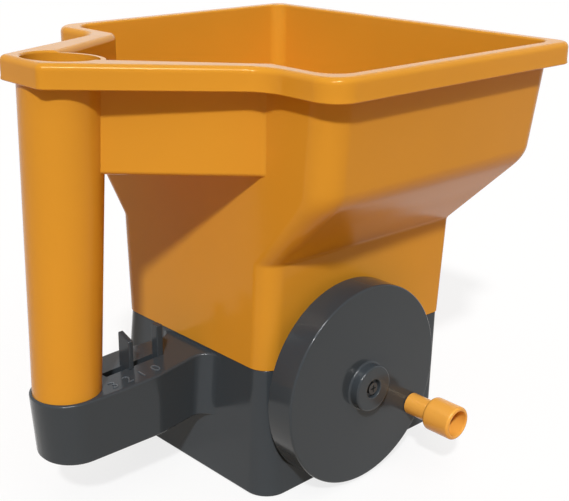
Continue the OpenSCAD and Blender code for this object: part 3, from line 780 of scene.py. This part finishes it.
def mix_finishes(colours):
    """Makes the finishes of the plastics and the metals."""
    grey = colours.base
    FINISHES["hopper plastic"] = moulded_plastic(
        "hopper_plastic", colours.hopper, rough=0.18, grain=4e-6, waves=4e-5, gloss=0.15, sheen=WARM_SHEEN)
    FINISHES["knob plastic"] = moulded_plastic(
        "knob_plastic", colours.knob, rough=0.18, grain=4e-6, waves=3e-5, gloss=0.25, sheen=WARM_SHEEN)
    FINISHES["base plastic"] = moulded_plastic(
        "base_plastic", grey, rough=0.15, grain=5e-6, waves=3e-5, gloss=0.2)
    # The flow marks take the grey made twice as light: a painted highlight for light caught on their raised
    # edges, not a colour of their own.
    FINISHES["mark plastic with painted highlight"] = moulded_plastic(
        "mark_plastic_painted_highlight", shade(grey, 2.0), rough=0.3, grain=2e-5, waves=1e-5, gloss=0.4)
    FINISHES["gear plastic"] = moulded_plastic(
        "gear_plastic", colours.gears, rough=0.5, grain=3e-5, waves=6e-5, gloss=0.45)
    FINISHES["bush metal"] = bare_metal("bush_metal", colours.bushes, rough=0.42)
    FINISHES["steel"] = bare_metal("plated_steel", colours.steel, rough=0.3)
    # The axle, washer and screw inside the hub take the steel at 0.12 of its brightness.
    FINISHES["dark steel"] = bare_metal("dark_steel", shade(colours.steel, 0.12), rough=0.45)


def finish_of(name):
    """A finish by its name."""
    if not FINISHES:
        mix_finishes(bpy.context.scene.spreader_colours)
    return FINISHES[name]


class SPREADER_OT_hopper(bpy.types.Operator):
    """Models the hopper with its rim, bridge, grip and funnel in one moulding"""

    bl_idname = "spreader.hopper"
    bl_label = "Hopper"

    def execute(self, context):
        sizes = context.scene.spreader_sizes
        hopper = self.rim(sizes.lip_round / MM)
        fuse(hopper, self.walls(sizes))
        fuse(hopper, self.bridge(sizes.bridge_round / MM))
        cut(hopper, self.cavity(sizes))
        cut(hopper, self.bay(sizes.bay_round / MM))
        cut(hopper, self.under_funnel())
        fuse(hopper, self.grip(sizes.around))
        cut(hopper, self.bore(sizes.around, sizes.mouth_round / MM))
        self.floor(hopper)
        part_faces(hopper)
        smooth(hopper)
        orange = finish_of("hopper plastic")
        hand_over(hopper, "hopper_moulding", orange, "housing", "orange_plastic", "hopper")
        return {"FINISHED"}

    def rim(self, radius):
        """The rim's plate with its outer band, open below."""
        low = RIM_Z - LIP_H
        toe = LIP_T / 2
        profile = [(LIP_T, RIM_Z - WALL), (LIP_T, low + LIP_TOE)]
        profile += [(toe + toe * math.cos(a), low + LIP_TOE - LIP_TOE * math.sin(a))
                    for a in arc(math.pi, 8)[1:-1]]
        profile += [(0.0, low + LIP_TOE), (LIP_DRAFT_LOW, low + LIP_FOOT), (LIP_DRAFT, RIM_Z - radius - 1)]
        profile += [(LIP_DRAFT + inward, RIM_Z - along) for along, inward in quarter(radius)]
        rings = [at_height(outline(RIM, RIM_RADII, inset, 14), z) for inset, z in profile]
        piece = draw_through("rim", rings)
        edit_all(piece)
        bpy.ops.mesh.bisect(plane_co=(HINGE_X * MM, 0, 0), plane_no=(1, 0, 0))
        clear()
        places = climb([vert.co / MM for vert in piece.data.vertices])
        for vert, place in zip(piece.data.vertices, places):
            vert.co = place * MM
        return piece

    def walls(self, sizes):
        """The bin, the slope and the neck as one solid, down to the spigot inside the base."""
        rings = [seam_ring(SPIGOT_OUT, FLOOR_LOW), seam_ring(SPIGOT_OUT, SEAM_Z),
                 seam_ring(SEAM_CHAMFER, SEAM_Z), hopper_ring(SEAM_Z + SEAM_CHAMFER)]
        rings += rounded_crease(NECK_Z, sizes.neck_round / MM, 0)
        rings += [hopper_ring(z) for z in SLOPE_STEPS]
        rings += rounded_crease(BIN_Z, sizes.shoulder_round / MM, 0)
        rings.append(hopper_ring(WALL_TOP))
        return draw_through("walls", rings)

    def cavity(self, sizes):
        """The space for the seed: funnel, neck, slope and bin, its mouth rounded into the rim."""
        rings = [funnel_foot(0, FLOOR_TOP), hopper_ring(FUNNEL_Z, WALL)]
        rings += rounded_crease(NECK_Z, sizes.neck_round / MM + 1, WALL)
        rings += [hopper_ring(z, WALL) for z in SLOPE_STEPS]
        rings += rounded_crease(BIN_Z, sizes.shoulder_round / MM, WALL)
        radius = sizes.mouth_round / MM
        mouth = WALL - radius
        rings += [at_height(hopper_ring(RIM_Z, mouth + inward), RIM_Z - along)
                  for inward, along in opening_edge(radius)]
        rings.append(at_height(hopper_ring(RIM_Z, mouth), RIM_Z + PAST))
        return draw_through("cavity", rings)

    def bridge(self, radius):
        """The bridge between the rear wall and the grip, its lower edge rounded."""
        rings = [raised(bridge_ring(BRIDGE_LOW + along, inward, BRIDGE_FRONT, BRIDGE_FILLET))
                 for inward, along in quarter(radius)]
        rings.append(bridge_ring(WALL_TOP, 0, BRIDGE_FRONT, BRIDGE_FILLET))
        return draw_through("bridge", rings)

    def bay(self, radius):
        """The bay inside the bridge, open to the bin."""
        floor = BRIDGE_LOW + WALL
        mouth = WALL - radius
        rings = [raised(bridge_ring(floor + along, WALL + inward, BAY_FRONT, BAY_FILLET))
                 for inward, along in quarter(BAY_CORNER)]
        rings += [bridge_ring(RIM_Z - along, mouth + inward, BAY_FRONT, BAY_FILLET)
                  for inward, along in opening_edge(radius)]
        rings.append(bridge_ring(RIM_Z + PAST, mouth, BAY_FRONT, BAY_FILLET))
        return draw_through("bay", rings)

    def under_funnel(self):
        """The space round the funnel, under the hopper's floor."""
        below = FLOOR_LOW - PAST
        ledge = SEAM_Z + SPIGOT_LEDGE
        rings = [seam_ring(SPIGOT_IN, below), seam_ring(SPIGOT_IN, ledge), hopper_ring(ledge, WALL),
                 hopper_ring(FUNNEL_LOW_Z, WALL), funnel_foot(-WALL, FLOOR_LOW), funnel_foot(-WALL, below)]
        return draw_through("under_funnel", rings, "JOIN")

    def grip(self, around):
        """The grip as a solid, from its foot in the arm up to the rim."""
        edge = 0.8
        rings = [grip_ring(grip_radius(GRIP_LOW) - edge, GRIP_LOW, around)]
        rings += [grip_ring(grip_radius(z), z, around) for z in (GRIP_LOW + edge, 120, 180, WALL_TOP)]
        return draw_through("grip", rings)

    def bore(self, around, radius):
        """The grip's open bore, its mouth rounded into the rim."""
        bottom = GRIP_LOW + GRIP_FOOT
        mouth = grip_radius(RIM_Z) - WALL + radius
        rings = [grip_ring(grip_radius(z) - WALL - inward, z, around)
                 for inward, z in [(2, bottom), (0.6, bottom + 0.6), (0, bottom + 2), (0, 150)]]
        rings += [grip_ring(mouth - inward, RIM_Z - along, around) for inward, along in opening_edge(radius)]
        rings.append(grip_ring(mouth, RIM_Z + PAST, around))
        return draw_through("bore", rings)

    def floor(self, hopper):
        """The outlet, the shaft's boss and the posts under the funnel."""
        profile = [(BOSS_R, FLOOR_LOW), (BOSS_R, BOSS_TOP - 0.6), (BOSS_R - 0.15, BOSS_TOP - 0.2),
                   (BOSS_R - 0.5, BOSS_TOP)]
        fuse(hopper, draw_through("boss", [ring_flat(0, 0, r, z, 64) for r, z in profile]))
        seat = [ring_flat(0, 0, BUSH_R, z, 64) for z in (FLOOR_LOW - 2, BOSS_TOP + 4.5)]
        cut(hopper, draw_through("bush_seat", seat))
        cut(hopper, block("outlet", OUTLET_LOW, OUTLET_HIGH, OUTLET_ROUND))
        socket = [(SOCKET_R, FLOOR_LOW + 0.2), (SOCKET_R, FLOOR_LOW + SOCKET_H - 0.8),
                  (SOCKET_R - 0.6, FLOOR_LOW + SOCKET_H)]
        post = draw_through("post", [ring_flat(0, 0, r, z, 32) for r, z in socket])
        fuse(hopper, copies(post, POST_PLACES))


class SPREADER_OT_base(bpy.types.Operator):
    """Models the base with its arm, the grip's socket, the slot and the seed mouth"""

    bl_idname = "spreader.base"
    bl_label = "Base"

    def execute(self, context):
        sizes = context.scene.spreader_sizes
        radius = sizes.base_round / MM
        base = self.shell(radius)
        fuse(base, self.arm(radius))
        inside = [base_ring(z, WALL) for z in (-2, *BASE_STEPS, BASE_TOP + 2)]
        cut(base, draw_through("inside", inside))
        cut(base, self.arm_inside())
        self.socket(base, sizes.around)
        self.openings(base)
        self.posts(base)
        part_faces(base)
        smooth(base)
        grey = finish_of("base plastic")
        hand_over(base, "base_moulding", grey, "housing", "grey_plastic", "base_housing")
        return {"FINISHED"}

    def shell(self, radius):
        """The base as a solid."""
        rings = [base_ring(along, inward) for inward, along in quarter(radius)]
        rings += [base_ring(z) for z in BASE_STEPS]
        rings += [base_ring(BASE_TOP - along, inward) for inward, along in reversed(quarter(0.5, 4))]
        return draw_through("base", rings)

    def arm(self, radius):
        """The arm as a solid, its top climbing towards the base."""
        rings = [arm_ring(ARM_LOW + along, inward) for inward, along in quarter(radius)]
        rings += [arm_ring(ARM_TOP - along, inward) for inward, along in reversed(quarter(radius))]
        arm = draw_through("arm", rings)
        edit_all(arm)
        bpy.ops.mesh.bisect(plane_co=(ARM_BEND_X * MM, 0, 0), plane_no=(1, 0, 0))
        clear()
        for vert in arm.data.vertices:
            if vert.co.z > (ARM_TOP - radius - 0.1) * MM:
                vert.co.z += arm_rise(vert.co.x / MM) * MM
        return arm

    def arm_inside(self):
        """The space inside the arm, open below."""
        space = draw_through("arm_inside", [arm_ring(z, WALL) for z in (ARM_LOW - 2, ARM_TOP - WALL)])
        edit_all(space)
        bpy.ops.mesh.bisect(
            plane_co=(ARM_SPACE_X * MM, 0, 0), plane_no=(1, 0, 0), clear_outer=True, use_fill=True)
        bpy.ops.mesh.select_all(action="SELECT")
        bpy.ops.mesh.normals_make_consistent(inside=False)
        clear()
        return space

    def socket(self, base, around):
        """The cup that holds the grip's foot."""
        cup = [grip_ring(grip_radius(z) + 0.6, z, around) for z in (GRIP_LOW - 2, GRIP_LOW + 3.5)]
        fuse(base, draw_through("cup", cup))
        seat = [grip_ring(grip_radius(z) + 0.15, z, around) for z in (GRIP_LOW - 0.2, ARM_TOP + 9)]
        cut(base, draw_through("seat", seat))

    def openings(self, base):
        """The slot for the tabs, the gate's way through the wall and the seed mouth with its rounded edge."""
        cut(base, block("slot", SLOT_LOW, SLOT_HIGH, 1.0))
        cut(base, block("gate_way", GATE_WAY_LOW, GATE_WAY_HIGH))
        corners = [(MOUTH_HALF, MOUTH_HIGH), (-MOUTH_HALF, MOUTH_HIGH),
                   (-MOUTH_HALF, MOUTH_LOW), (MOUTH_HALF, MOUTH_LOW)]
        steps = [(-12, 0), (-1.0, 0)]
        steps += [(-1.0 + math.sin(a), 1 - math.cos(a)) for a in arc(math.pi / 2, 5)[1:]]
        steps += [(PAST, 1.0)]
        rings = []
        for out, grow in steps:
            loop = outline(corners, [MOUTH_ROUND] * 4, -grow, 8)
            rings.append([Vector((GROUND_FRONT + p.y * FRONT_LEAN / BASE_TOP + out, p.x, p.y)) for p in loop])
        cut(base, draw_through("seed_mouth", rings))

    def posts(self, base):
        """The screw posts and the seats of the axle and the cross shaft."""
        profile = [(POST_R, 3.2), (POST_R, FLOOR_LOW - 0.6), (POST_R - 0.6, FLOOR_LOW)]
        post = draw_through("post", [ring_flat(0, 0, r, z, 32) for r, z in profile])
        fuse(base, copies(post, POST_PLACES))
        profile = [(AXLE_SEAT_R, AXLE_SEAT_IN), (AXLE_SEAT_R, AXLE_SEAT_OUT - 0.3),
                   (AXLE_SEAT_R - 0.3, AXLE_SEAT_OUT)]
        axle_seat = [ring_upright(0, CRANK_Z, r, -y, 48) for r, y in profile]
        fuse(base, draw_through("axle_seat", axle_seat))
        bush_seat = [ring_upright(0, CROSS_Z, BUSH_R + 3, -y, 48) for y in (BUSH_SEAT_IN, BUSH_SEAT_OUT)]
        fuse(base, draw_through("bush_seat", bush_seat))
        axle_hole = [ring_upright(0, CRANK_Z, AXLE_HOLE_R, -y, 48) for y in NEAR_WALL]
        cut(base, draw_through("axle_hole", axle_hole))
        bush_hole = [ring_upright(0, CROSS_Z, BUSH_R, -y, 48) for y in NEAR_WALL]
        cut(base, draw_through("bush_hole", bush_hole))


class SPREADER_OT_wheel(bpy.types.Operator):
    """Models the crank wheel with its hub and the ring of teeth inside its drum"""

    bl_idname = "spreader.wheel"
    bl_label = "Crank Wheel"

    def execute(self, context):
        around = context.scene.spreader_sizes.around
        edge = context.scene.spreader_sizes.wheel_round / MM
        fillet = 1.2
        web = WHEEL_FACE - WALL
        profile = [(DRUM_R, WHEEL_BACK), (WHEEL_R - 0.5, WHEEL_BACK)]
        profile += [(WHEEL_R - inward, WHEEL_BACK + along) for inward, along in quarter(0.5, 4)]
        profile += [(WHEEL_R - inward, WHEEL_FACE - along) for inward, along in reversed(quarter(edge, 8))]
        profile += [(HUB_R + fillet - fillet * math.sin(a), WHEEL_FACE + fillet - fillet * math.cos(a))
                    for a in arc(math.pi / 2, 6)]
        profile += [(HUB_R - inward, HUB_FACE - along) for inward, along in reversed(quarter(edge, 8))]
        profile += [(HUB_HOLE_R + inward, HUB_FACE - along) for inward, along in quarter(0.6, 5)]
        profile += [(HUB_HOLE_R, HUB_SEAT), (AXLE_R, HUB_SEAT), (AXLE_R, WHEEL_BACK + 0.5),
                    (SLEEVE_R, WHEEL_BACK + 0.5), (SLEEVE_R, web), (DRUM_R, web)]
        wheel = draw_through("wheel", [ring_upright(0, CRANK_Z, r, -y, around) for r, y in profile], "JOIN")
        fuse(wheel, self.teeth())
        pin_hole = [ring_upright(KNOB_X, KNOB_Z, PIN_HOLE_R, -y, 32) for y in WHEEL_WEB]
        cut(wheel, draw_through("pin_hole", pin_hole))
        smooth(wheel)
        grey = finish_of("base plastic")
        hand_over(wheel, "wheel_moulding", grey, "crank", "grey_plastic", "crank_wheel")
        return {"FINISHED"}

    def teeth(self):
        """The ring of inner teeth."""
        pitch = RING_TEETH * TOOTH_SIZE / 2
        quarter_tooth = math.radians(90 / RING_TEETH * 1.2)
        inner = []
        for k in range(RING_TEETH):
            for at, out in [(-1.5, -0.8), (-0.45, 1.25), (0.45, 1.25), (1.5, -0.8)]:
                inner.append((2 * math.pi * k / RING_TEETH + quarter_tooth * at, pitch + out * TOOTH_SIZE))
        rim = [(angle, DRUM_R + 0.5) for angle, _ in inner]
        back, front = WHEEL_BACK + 1, WHEEL_FACE - 2

        def ring(points, y):
            return [Vector((r * math.cos(a), -y, CRANK_Z + r * math.sin(a))) for a, r in points]

        rings = [ring(inner, back), ring(rim, back), ring(rim, front), ring(inner, front)]
        return draw_through("teeth", rings, "JOIN")


class SPREADER_OT_knob(bpy.types.Operator):
    """Models the turning knob with its stem, grip and open cup"""

    bl_idname = "spreader.knob"
    bl_label = "Crank Knob"

    def execute(self, context):
        around = context.scene.spreader_sizes.around
        foot = WHEEL_FACE + 0.3
        shoulder = KNOB_NECK - 1.3
        cup_floor = KNOB_NECK + 3.0
        profile = [(KNOB_PIN_R, foot), (KNOB_STEM_R - 0.5, foot), (KNOB_STEM_R - 0.12, foot + 0.2),
                   (KNOB_STEM_R, foot + 0.6), (KNOB_STEM_R, shoulder - 0.6),
                   (KNOB_STEM_R + 0.12, shoulder - 0.2), (KNOB_STEM_R + 0.5, shoulder)]
        profile += [(KNOB_GRIP_R - inward, shoulder + along) for inward, along in quarter(2.2, 8)]
        profile += [(KNOB_GRIP_R - inward, KNOB_TIP - along) for inward, along in reversed(quarter(1.6, 8))]
        profile += [(KNOB_CUP_R + inward, KNOB_TIP - along) for inward, along in quarter(0.6, 5)]
        profile += [(KNOB_CUP_R - 0.25, cup_floor + 1.2), (KNOB_CUP_R - 0.6, cup_floor + 0.3),
                    (KNOB_CUP_R - 1.5, cup_floor), (KNOB_PIN_R, cup_floor)]
        knob = draw_through("knob", [ring_upright(KNOB_X, KNOB_Z, r, -y, around) for r, y in profile], "JOIN")
        smooth(knob)
        hand_over(knob, "knob_moulding", finish_of("knob plastic"), "knob", "orange_plastic", "crank_knob")
        return {"FINISHED"}


class SPREADER_OT_tabs(bpy.types.Operator):
    """Models the gate with its trigger tab and the flow stop behind it"""

    bl_idname = "spreader.tabs"
    bl_label = "Gate and Flow Stop"

    def execute(self, context):
        grey = finish_of("base plastic")
        gate = self.gate()
        smooth(gate)
        hand_over(gate, "gate_moulding", grey, "gate", "grey_plastic", "gate_slide")
        stop = self.stop()
        smooth(stop)
        hand_over(stop, "stop_moulding", grey, "stop", "grey_plastic", "flow_stop")
        return {"FINISHED"}

    def gate(self):
        """The gate's bar and pan, with the lug for the spring and the trigger tab."""
        gate = block("gate", (GATE_BACK, -SLIDE_HALF, SLIDE_LOW), (GATE_FRONT, SLIDE_HALF, SLIDE_TOP))
        fuse(gate, block("gate_pan", (PAN_BACK, -PAN_HALF, SLIDE_LOW + 0.05),
                         (GATE_FRONT - 0.1, PAN_HALF, SLIDE_TOP - 0.05), 1.5))
        cut(gate, block("shaft_way", (-SHAFT_ROOM, -SHAFT_ROOM, SLIDE_LOW - 2.7),
                        (GATE_TRAVEL + SHAFT_ROOM, SHAFT_ROOM, SLIDE_TOP + 4.3), 2.0))
        fuse(gate, block("lug", (LUG_BACK, -LUG_HALF, LUG_LOW), (LUG_FRONT, LUG_HALF, SLIDE_LOW + 0.5)))
        fuse(gate, block("gate_stem", (GATE_BACK + 0.1, -STEM_HALF, SLIDE_LOW + 0.3),
                         (GATE_TAB_FRONT - 0.1, STEM_HALF, TAB_LOW + 1.2)))
        corners = [(-GATE_TAB_HALF, TAB_LOW), (GATE_TAB_HALF, TAB_LOW),
                   (GATE_TAB_HALF, GATE_TAB_TOP), (-GATE_TAB_HALF, GATE_TAB_TOP)]
        fuse(gate, self.tab("gate_tab", GATE_BACK, GATE_TAB_FRONT, corners))
        return gate

    def stop(self):
        """The flow stop's foot and its tab with a sloping top."""
        stop = block("stop", (STOP_BACK, -SLIDE_HALF, SLIDE_LOW), (STOP_FRONT, SLIDE_HALF, SLIDE_TOP), 0.8)
        fuse(stop, block("stop_stem", (STOP_TAB_BACK + 0.1, -STEM_HALF, SLIDE_LOW + 0.3),
                         (STOP_FRONT - 0.1, STEM_HALF, TAB_LOW + 1.2)))
        corners = [(-STOP_TAB_HALF, TAB_LOW), (STOP_TAB_HALF, TAB_LOW),
                   (STOP_TAB_HALF, STOP_TAB_TOP), (-STOP_TAB_HALF, STOP_TAB_TOP - STOP_TAB_FALL)]
        fuse(stop, self.tab("stop_tab", STOP_TAB_BACK, STOP_FRONT, corners))
        return stop

    def tab(self, name, back, front, corners):
        """An upright tab with rounded edges."""
        edge = [(0.0, 0.5), (0.15, 0.2), (0.5, 0.0)]
        steps = [(back + along, inset) for along, inset in edge]
        steps += [(front - along, inset) for along, inset in reversed(edge)]
        rings = [[Vector((x, p.x, p.y)) for p in outline(corners, [0.7] * len(corners), inset, 4)]
                 for x, inset in steps]
        return draw_through(name, rings)


class SPREADER_OT_spring(bpy.types.Operator):
    """Models the gate's spring as a fixed coil from the lug to its seat; the real spring shortens as the gate
    opens
    """

    bl_idname = "spreader.spring"
    bl_label = "Gate Spring"

    def execute(self, context):
        room = SPRING_ROOM + SPRING_WIRE / 2
        first = LUG_BACK - room
        last = SPRING_SEAT + room
        clear()
        bpy.ops.mesh.primitive_circle_add(
            vertices=12, radius=SPRING_WIRE / 2 * MM, location=(0, SPRING_R * MM, 0))
        coil = bpy.context.object
        bpy.ops.object.transform_apply(location=True, rotation=True, scale=True)
        step = coil.modifiers.new("Coil", "SCREW")
        step.axis = "X"
        step.angle = 2 * math.pi
        step.iterations = SPRING_TURNS
        step.steps = 24
        step.render_steps = 24
        step.screw_offset = (last - first) / SPRING_TURNS * MM
        bpy.ops.object.modifier_apply(modifier=step.name)
        edit_all(coil)
        bpy.ops.mesh.fill_holes(sides=0)
        bpy.ops.mesh.select_all(action="SELECT")
        bpy.ops.mesh.normals_make_consistent(inside=False)
        bpy.ops.object.mode_set(mode="OBJECT")
        coil.location = Vector((first, 0, SPRING_Z)) * MM
        bpy.ops.object.transform_apply(location=True, rotation=True, scale=True)
        smooth(coil, 50)
        hand_over(coil, "spring_coil", finish_of("steel"), "housing", "steel", "gate_spring")
        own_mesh(coil)
        return {"FINISHED"}


class SPREADER_OT_marks(bpy.types.Operator):
    """Models the raised flow marks beside the slot"""

    bl_idname = "spreader.marks"
    bl_label = "Flow Marks"

    def execute(self, context):
        sizes = context.scene.spreader_sizes
        for number in range(MARK_COUNT):
            clear()
            bpy.ops.object.text_add()
            mark = bpy.context.object
            mark.data.body = str(number)
            mark.data.align_x = "CENTER"
            mark.data.align_y = "CENTER"
            mark.data.size = sizes.mark_height * MARK_TYPE_SIZE
            mark.data.extrude = sizes.mark_relief
            mark.data.bevel_depth = MARK_EDGE * MM
            mark.data.offset = -MARK_THINNING * MM
            bpy.ops.object.convert(target="MESH")
            mark = bpy.context.object
            mark.location = Vector((MARK_X - MARK_PITCH * number, MARK_Y, ARM_TOP)) * MM
            bpy.ops.object.transform_apply(location=True, rotation=True, scale=True)
            for vert in mark.data.vertices:
                vert.co.z += arm_rise(vert.co.x / MM) * MM
            smooth(mark)
            # The marks' lighter grey is a painted highlight for their edges catching light.
            hand_over(mark, f"flow_mark_{number}", finish_of("mark plastic with painted highlight"), "housing", "grey_plastic")
        return {"FINISHED"}


class SPREADER_OT_inner_parts(bpy.types.Operator):
    """Gives the drive, the gate's guide and the fasteners their finishes"""

    bl_idname = "spreader.inner_parts"
    bl_label = "Drive and Fasteners"

    def execute(self, context):
        finishes = {
            "base plastic": ["base_floor", "arm_cover", "gate_guide"],
            "gear plastic": ["drive_pinion", "drive_bevel", "spinner_bevel", "spinner_disc", "agitator"],
            "bush metal": ["wall_bush", "inner_bush", "foot_bush", "top_bush"],
            "dark steel": ["crank_axle", "hub_washer", "hub_screw"],
            "steel": ["knob_pin", "cross_shaft", "shaft_clip", "spinner_shaft", "thrust_washer",
                      "housing_screws", "guide_screws", "cover_screws", "handle_screw"],
        }
        for finish, names in finishes.items():
            for name in names:
                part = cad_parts[name]
                part.data.materials.clear()
                part.data.materials.append(finish_of(finish))
        return {"FINISHED"}


class SPREADER_OT_stage(bpy.types.Operator):
    """Sets the floor, the light and the camera"""

    bl_idname = "spreader.stage"
    bl_label = "Stage"

    def execute(self, context):
        context.scene.view_settings.view_transform = "Standard"
        self.floor()
        self.sky(context.scene)
        self.lamps()
        self.camera(context.scene)
        return {"FINISHED"}

    def floor(self):
        """A pale floor, white in the background, which keeps the shadow and gives warm light back."""
        clear()
        bpy.ops.mesh.primitive_plane_add(size=1, location=(0, 0, -FLOOR_DROP * MM))
        floor = bpy.context.object
        floor.name = "studio_floor"
        floor.scale = (FLOOR_SIZE * MM, FLOOR_SIZE * MM, 1)
        bpy.ops.object.transform_apply(location=True, rotation=True, scale=True)
        finish = bpy.data.materials.new("studio_floor")
        finish.use_nodes = True
        tree = finish.node_tree
        tree.nodes.clear()
        out = tree.nodes.new("ShaderNodeOutputMaterial")
        bounce = tree.nodes.new("ShaderNodeBsdfDiffuse")
        bounce.inputs["Color"].default_value = FLOOR_BOUNCE
        pale = tree.nodes.new("ShaderNodeBsdfDiffuse")
        pale.inputs["Color"].default_value = FLOOR_PALE
        white = tree.nodes.new("ShaderNodeEmission")
        shadowed = tree.nodes.new("ShaderNodeMixShader")
        shadowed.inputs["Fac"].default_value = FLOOR_WHITE_SHARE
        tree.links.new(pale.outputs["BSDF"], shadowed.inputs[1])
        tree.links.new(white.outputs["Emission"], shadowed.inputs[2])
        mix = tree.nodes.new("ShaderNodeMixShader")
        tree.links.new(self.background_rays(tree), mix.inputs["Fac"])
        tree.links.new(bounce.outputs["BSDF"], mix.inputs[1])
        tree.links.new(shadowed.outputs["Shader"], mix.inputs[2])
        tree.links.new(mix.outputs["Shader"], out.inputs["Surface"])
        floor.data.materials.append(finish)

    def background_rays(self, tree):
        """One for rays from the camera, reflections and clear parts, which see the white background."""
        path = tree.nodes.new("ShaderNodeLightPath")
        seen = path.outputs["Is Camera Ray"]
        for kind in ("Is Glossy Ray", "Is Transmission Ray"):
            either = tree.nodes.new("ShaderNodeMath")
            either.operation = "MAXIMUM"
            tree.links.new(seen, either.inputs[0])
            tree.links.new(path.outputs[kind], either.inputs[1])
            seen = either.outputs["Value"]
        return seen

    def sky(self, scene):
        """A weak warm light from all round, seen as white."""
        scene.world = bpy.data.worlds.new("studio_white")
        scene.world.use_nodes = True
        tree = scene.world.node_tree
        tree.nodes.clear()
        out = tree.nodes.new("ShaderNodeOutputWorld")
        lit = tree.nodes.new("ShaderNodeBackground")
        lit.inputs["Color"].default_value = SKY_COLOUR
        lit.inputs["Strength"].default_value = SKY_STRENGTH
        seen = tree.nodes.new("ShaderNodeBackground")
        seen.inputs["Color"].default_value = (1, 1, 1, 1)
        seen.inputs["Strength"].default_value = 1.0
        mix = tree.nodes.new("ShaderNodeMixShader")
        tree.links.new(self.background_rays(tree), mix.inputs["Fac"])
        tree.links.new(lit.outputs["Background"], mix.inputs[1])
        tree.links.new(seen.outputs["Background"], mix.inputs[2])
        tree.links.new(mix.outputs["Shader"], out.inputs["Surface"])

    def lamps(self):
        """The distant lamps."""
        for name, travel, width, power, matte, gloss in LAMPS:
            clear()
            bpy.ops.object.light_add(type="SUN", location=-1.5 * Vector(travel))
            lamp = bpy.context.object
            lamp.name = name
            lamp.data.angle = math.radians(width)
            lamp.data.energy = power
            lamp.visible_diffuse = matte
            lamp.visible_glossy = gloss
            lamp.rotation_euler = Vector(travel).to_track_quat("-Z", "Y").to_euler()

    def camera(self, scene):
        """The camera at the photograph's angle."""
        flat = math.cos(CAMERA_RISE)
        back = Vector((math.sin(CAMERA_TURN) * flat, -math.cos(CAMERA_TURN) * flat, math.sin(CAMERA_RISE)))
        level = Vector((math.cos(CAMERA_TURN), math.sin(CAMERA_TURN), 0))
        upright = back.cross(level)
        right = math.cos(CAMERA_ROLL) * level + math.sin(CAMERA_ROLL) * upright
        up = -math.sin(CAMERA_ROLL) * level + math.cos(CAMERA_ROLL) * upright
        place = (CAMERA_AIM + back * CAMERA_BACK) * MM
        clear()
        bpy.ops.object.camera_add(location=place)
        camera = bpy.context.object
        camera.name = "photo_camera"
        camera.matrix_world = Matrix.Translation(place) @ Matrix((right, up, back)).transposed().to_4x4()
        camera.data.sensor_fit = "HORIZONTAL"
        camera.data.sensor_width = SENSOR_WIDTH
        camera.data.lens = CAMERA_FOCUS_PX / PHOTO_WIDTH_PX * SENSOR_WIDTH
        camera.data.clip_start = 0.05
        scene.camera = camera


class SPREADER_PT_panel(bpy.types.Panel):
    """Lists the spreader's sizes, colours and steps"""

    bl_idname = "SPREADER_PT_panel"
    bl_label = "Seed Spreader"
    bl_space_type = "VIEW_3D"
    bl_region_type = "UI"
    bl_category = "Spreader"

    def draw(self, context):
        for group in (context.scene.spreader_sizes, context.scene.spreader_colours):
            box = self.layout.box()
            for name in group.__annotations__:
                box.prop(group, name)
        for step in STEPS:
            self.layout.operator(step.bl_idname)


STEPS = [SPREADER_OT_stage, SPREADER_OT_hopper, SPREADER_OT_base, SPREADER_OT_wheel, SPREADER_OT_knob,
         SPREADER_OT_tabs, SPREADER_OT_spring, SPREADER_OT_marks, SPREADER_OT_inner_parts]
CLASSES = [SpreaderSizes, SpreaderColours, *STEPS, SPREADER_PT_panel]


def register():
    for kind in CLASSES:
        bpy.utils.register_class(kind)
    bpy.types.Scene.spreader_sizes = PointerProperty(type=SpreaderSizes)
    bpy.types.Scene.spreader_colours = PointerProperty(type=SpreaderColours)


def unregister():
    del bpy.types.Scene.spreader_colours
    del bpy.types.Scene.spreader_sizes
    for kind in reversed(CLASSES):
        bpy.utils.unregister_class(kind)


def main():
    register()
    bpy.ops.spreader.stage()
    bpy.ops.spreader.hopper()
    bpy.ops.spreader.base()
    bpy.ops.spreader.wheel()
    bpy.ops.spreader.knob()
    bpy.ops.spreader.tabs()
    bpy.ops.spreader.spring()
    bpy.ops.spreader.marks()
    bpy.ops.spreader.inner_parts()


if __name__ == "__main__":
    main()
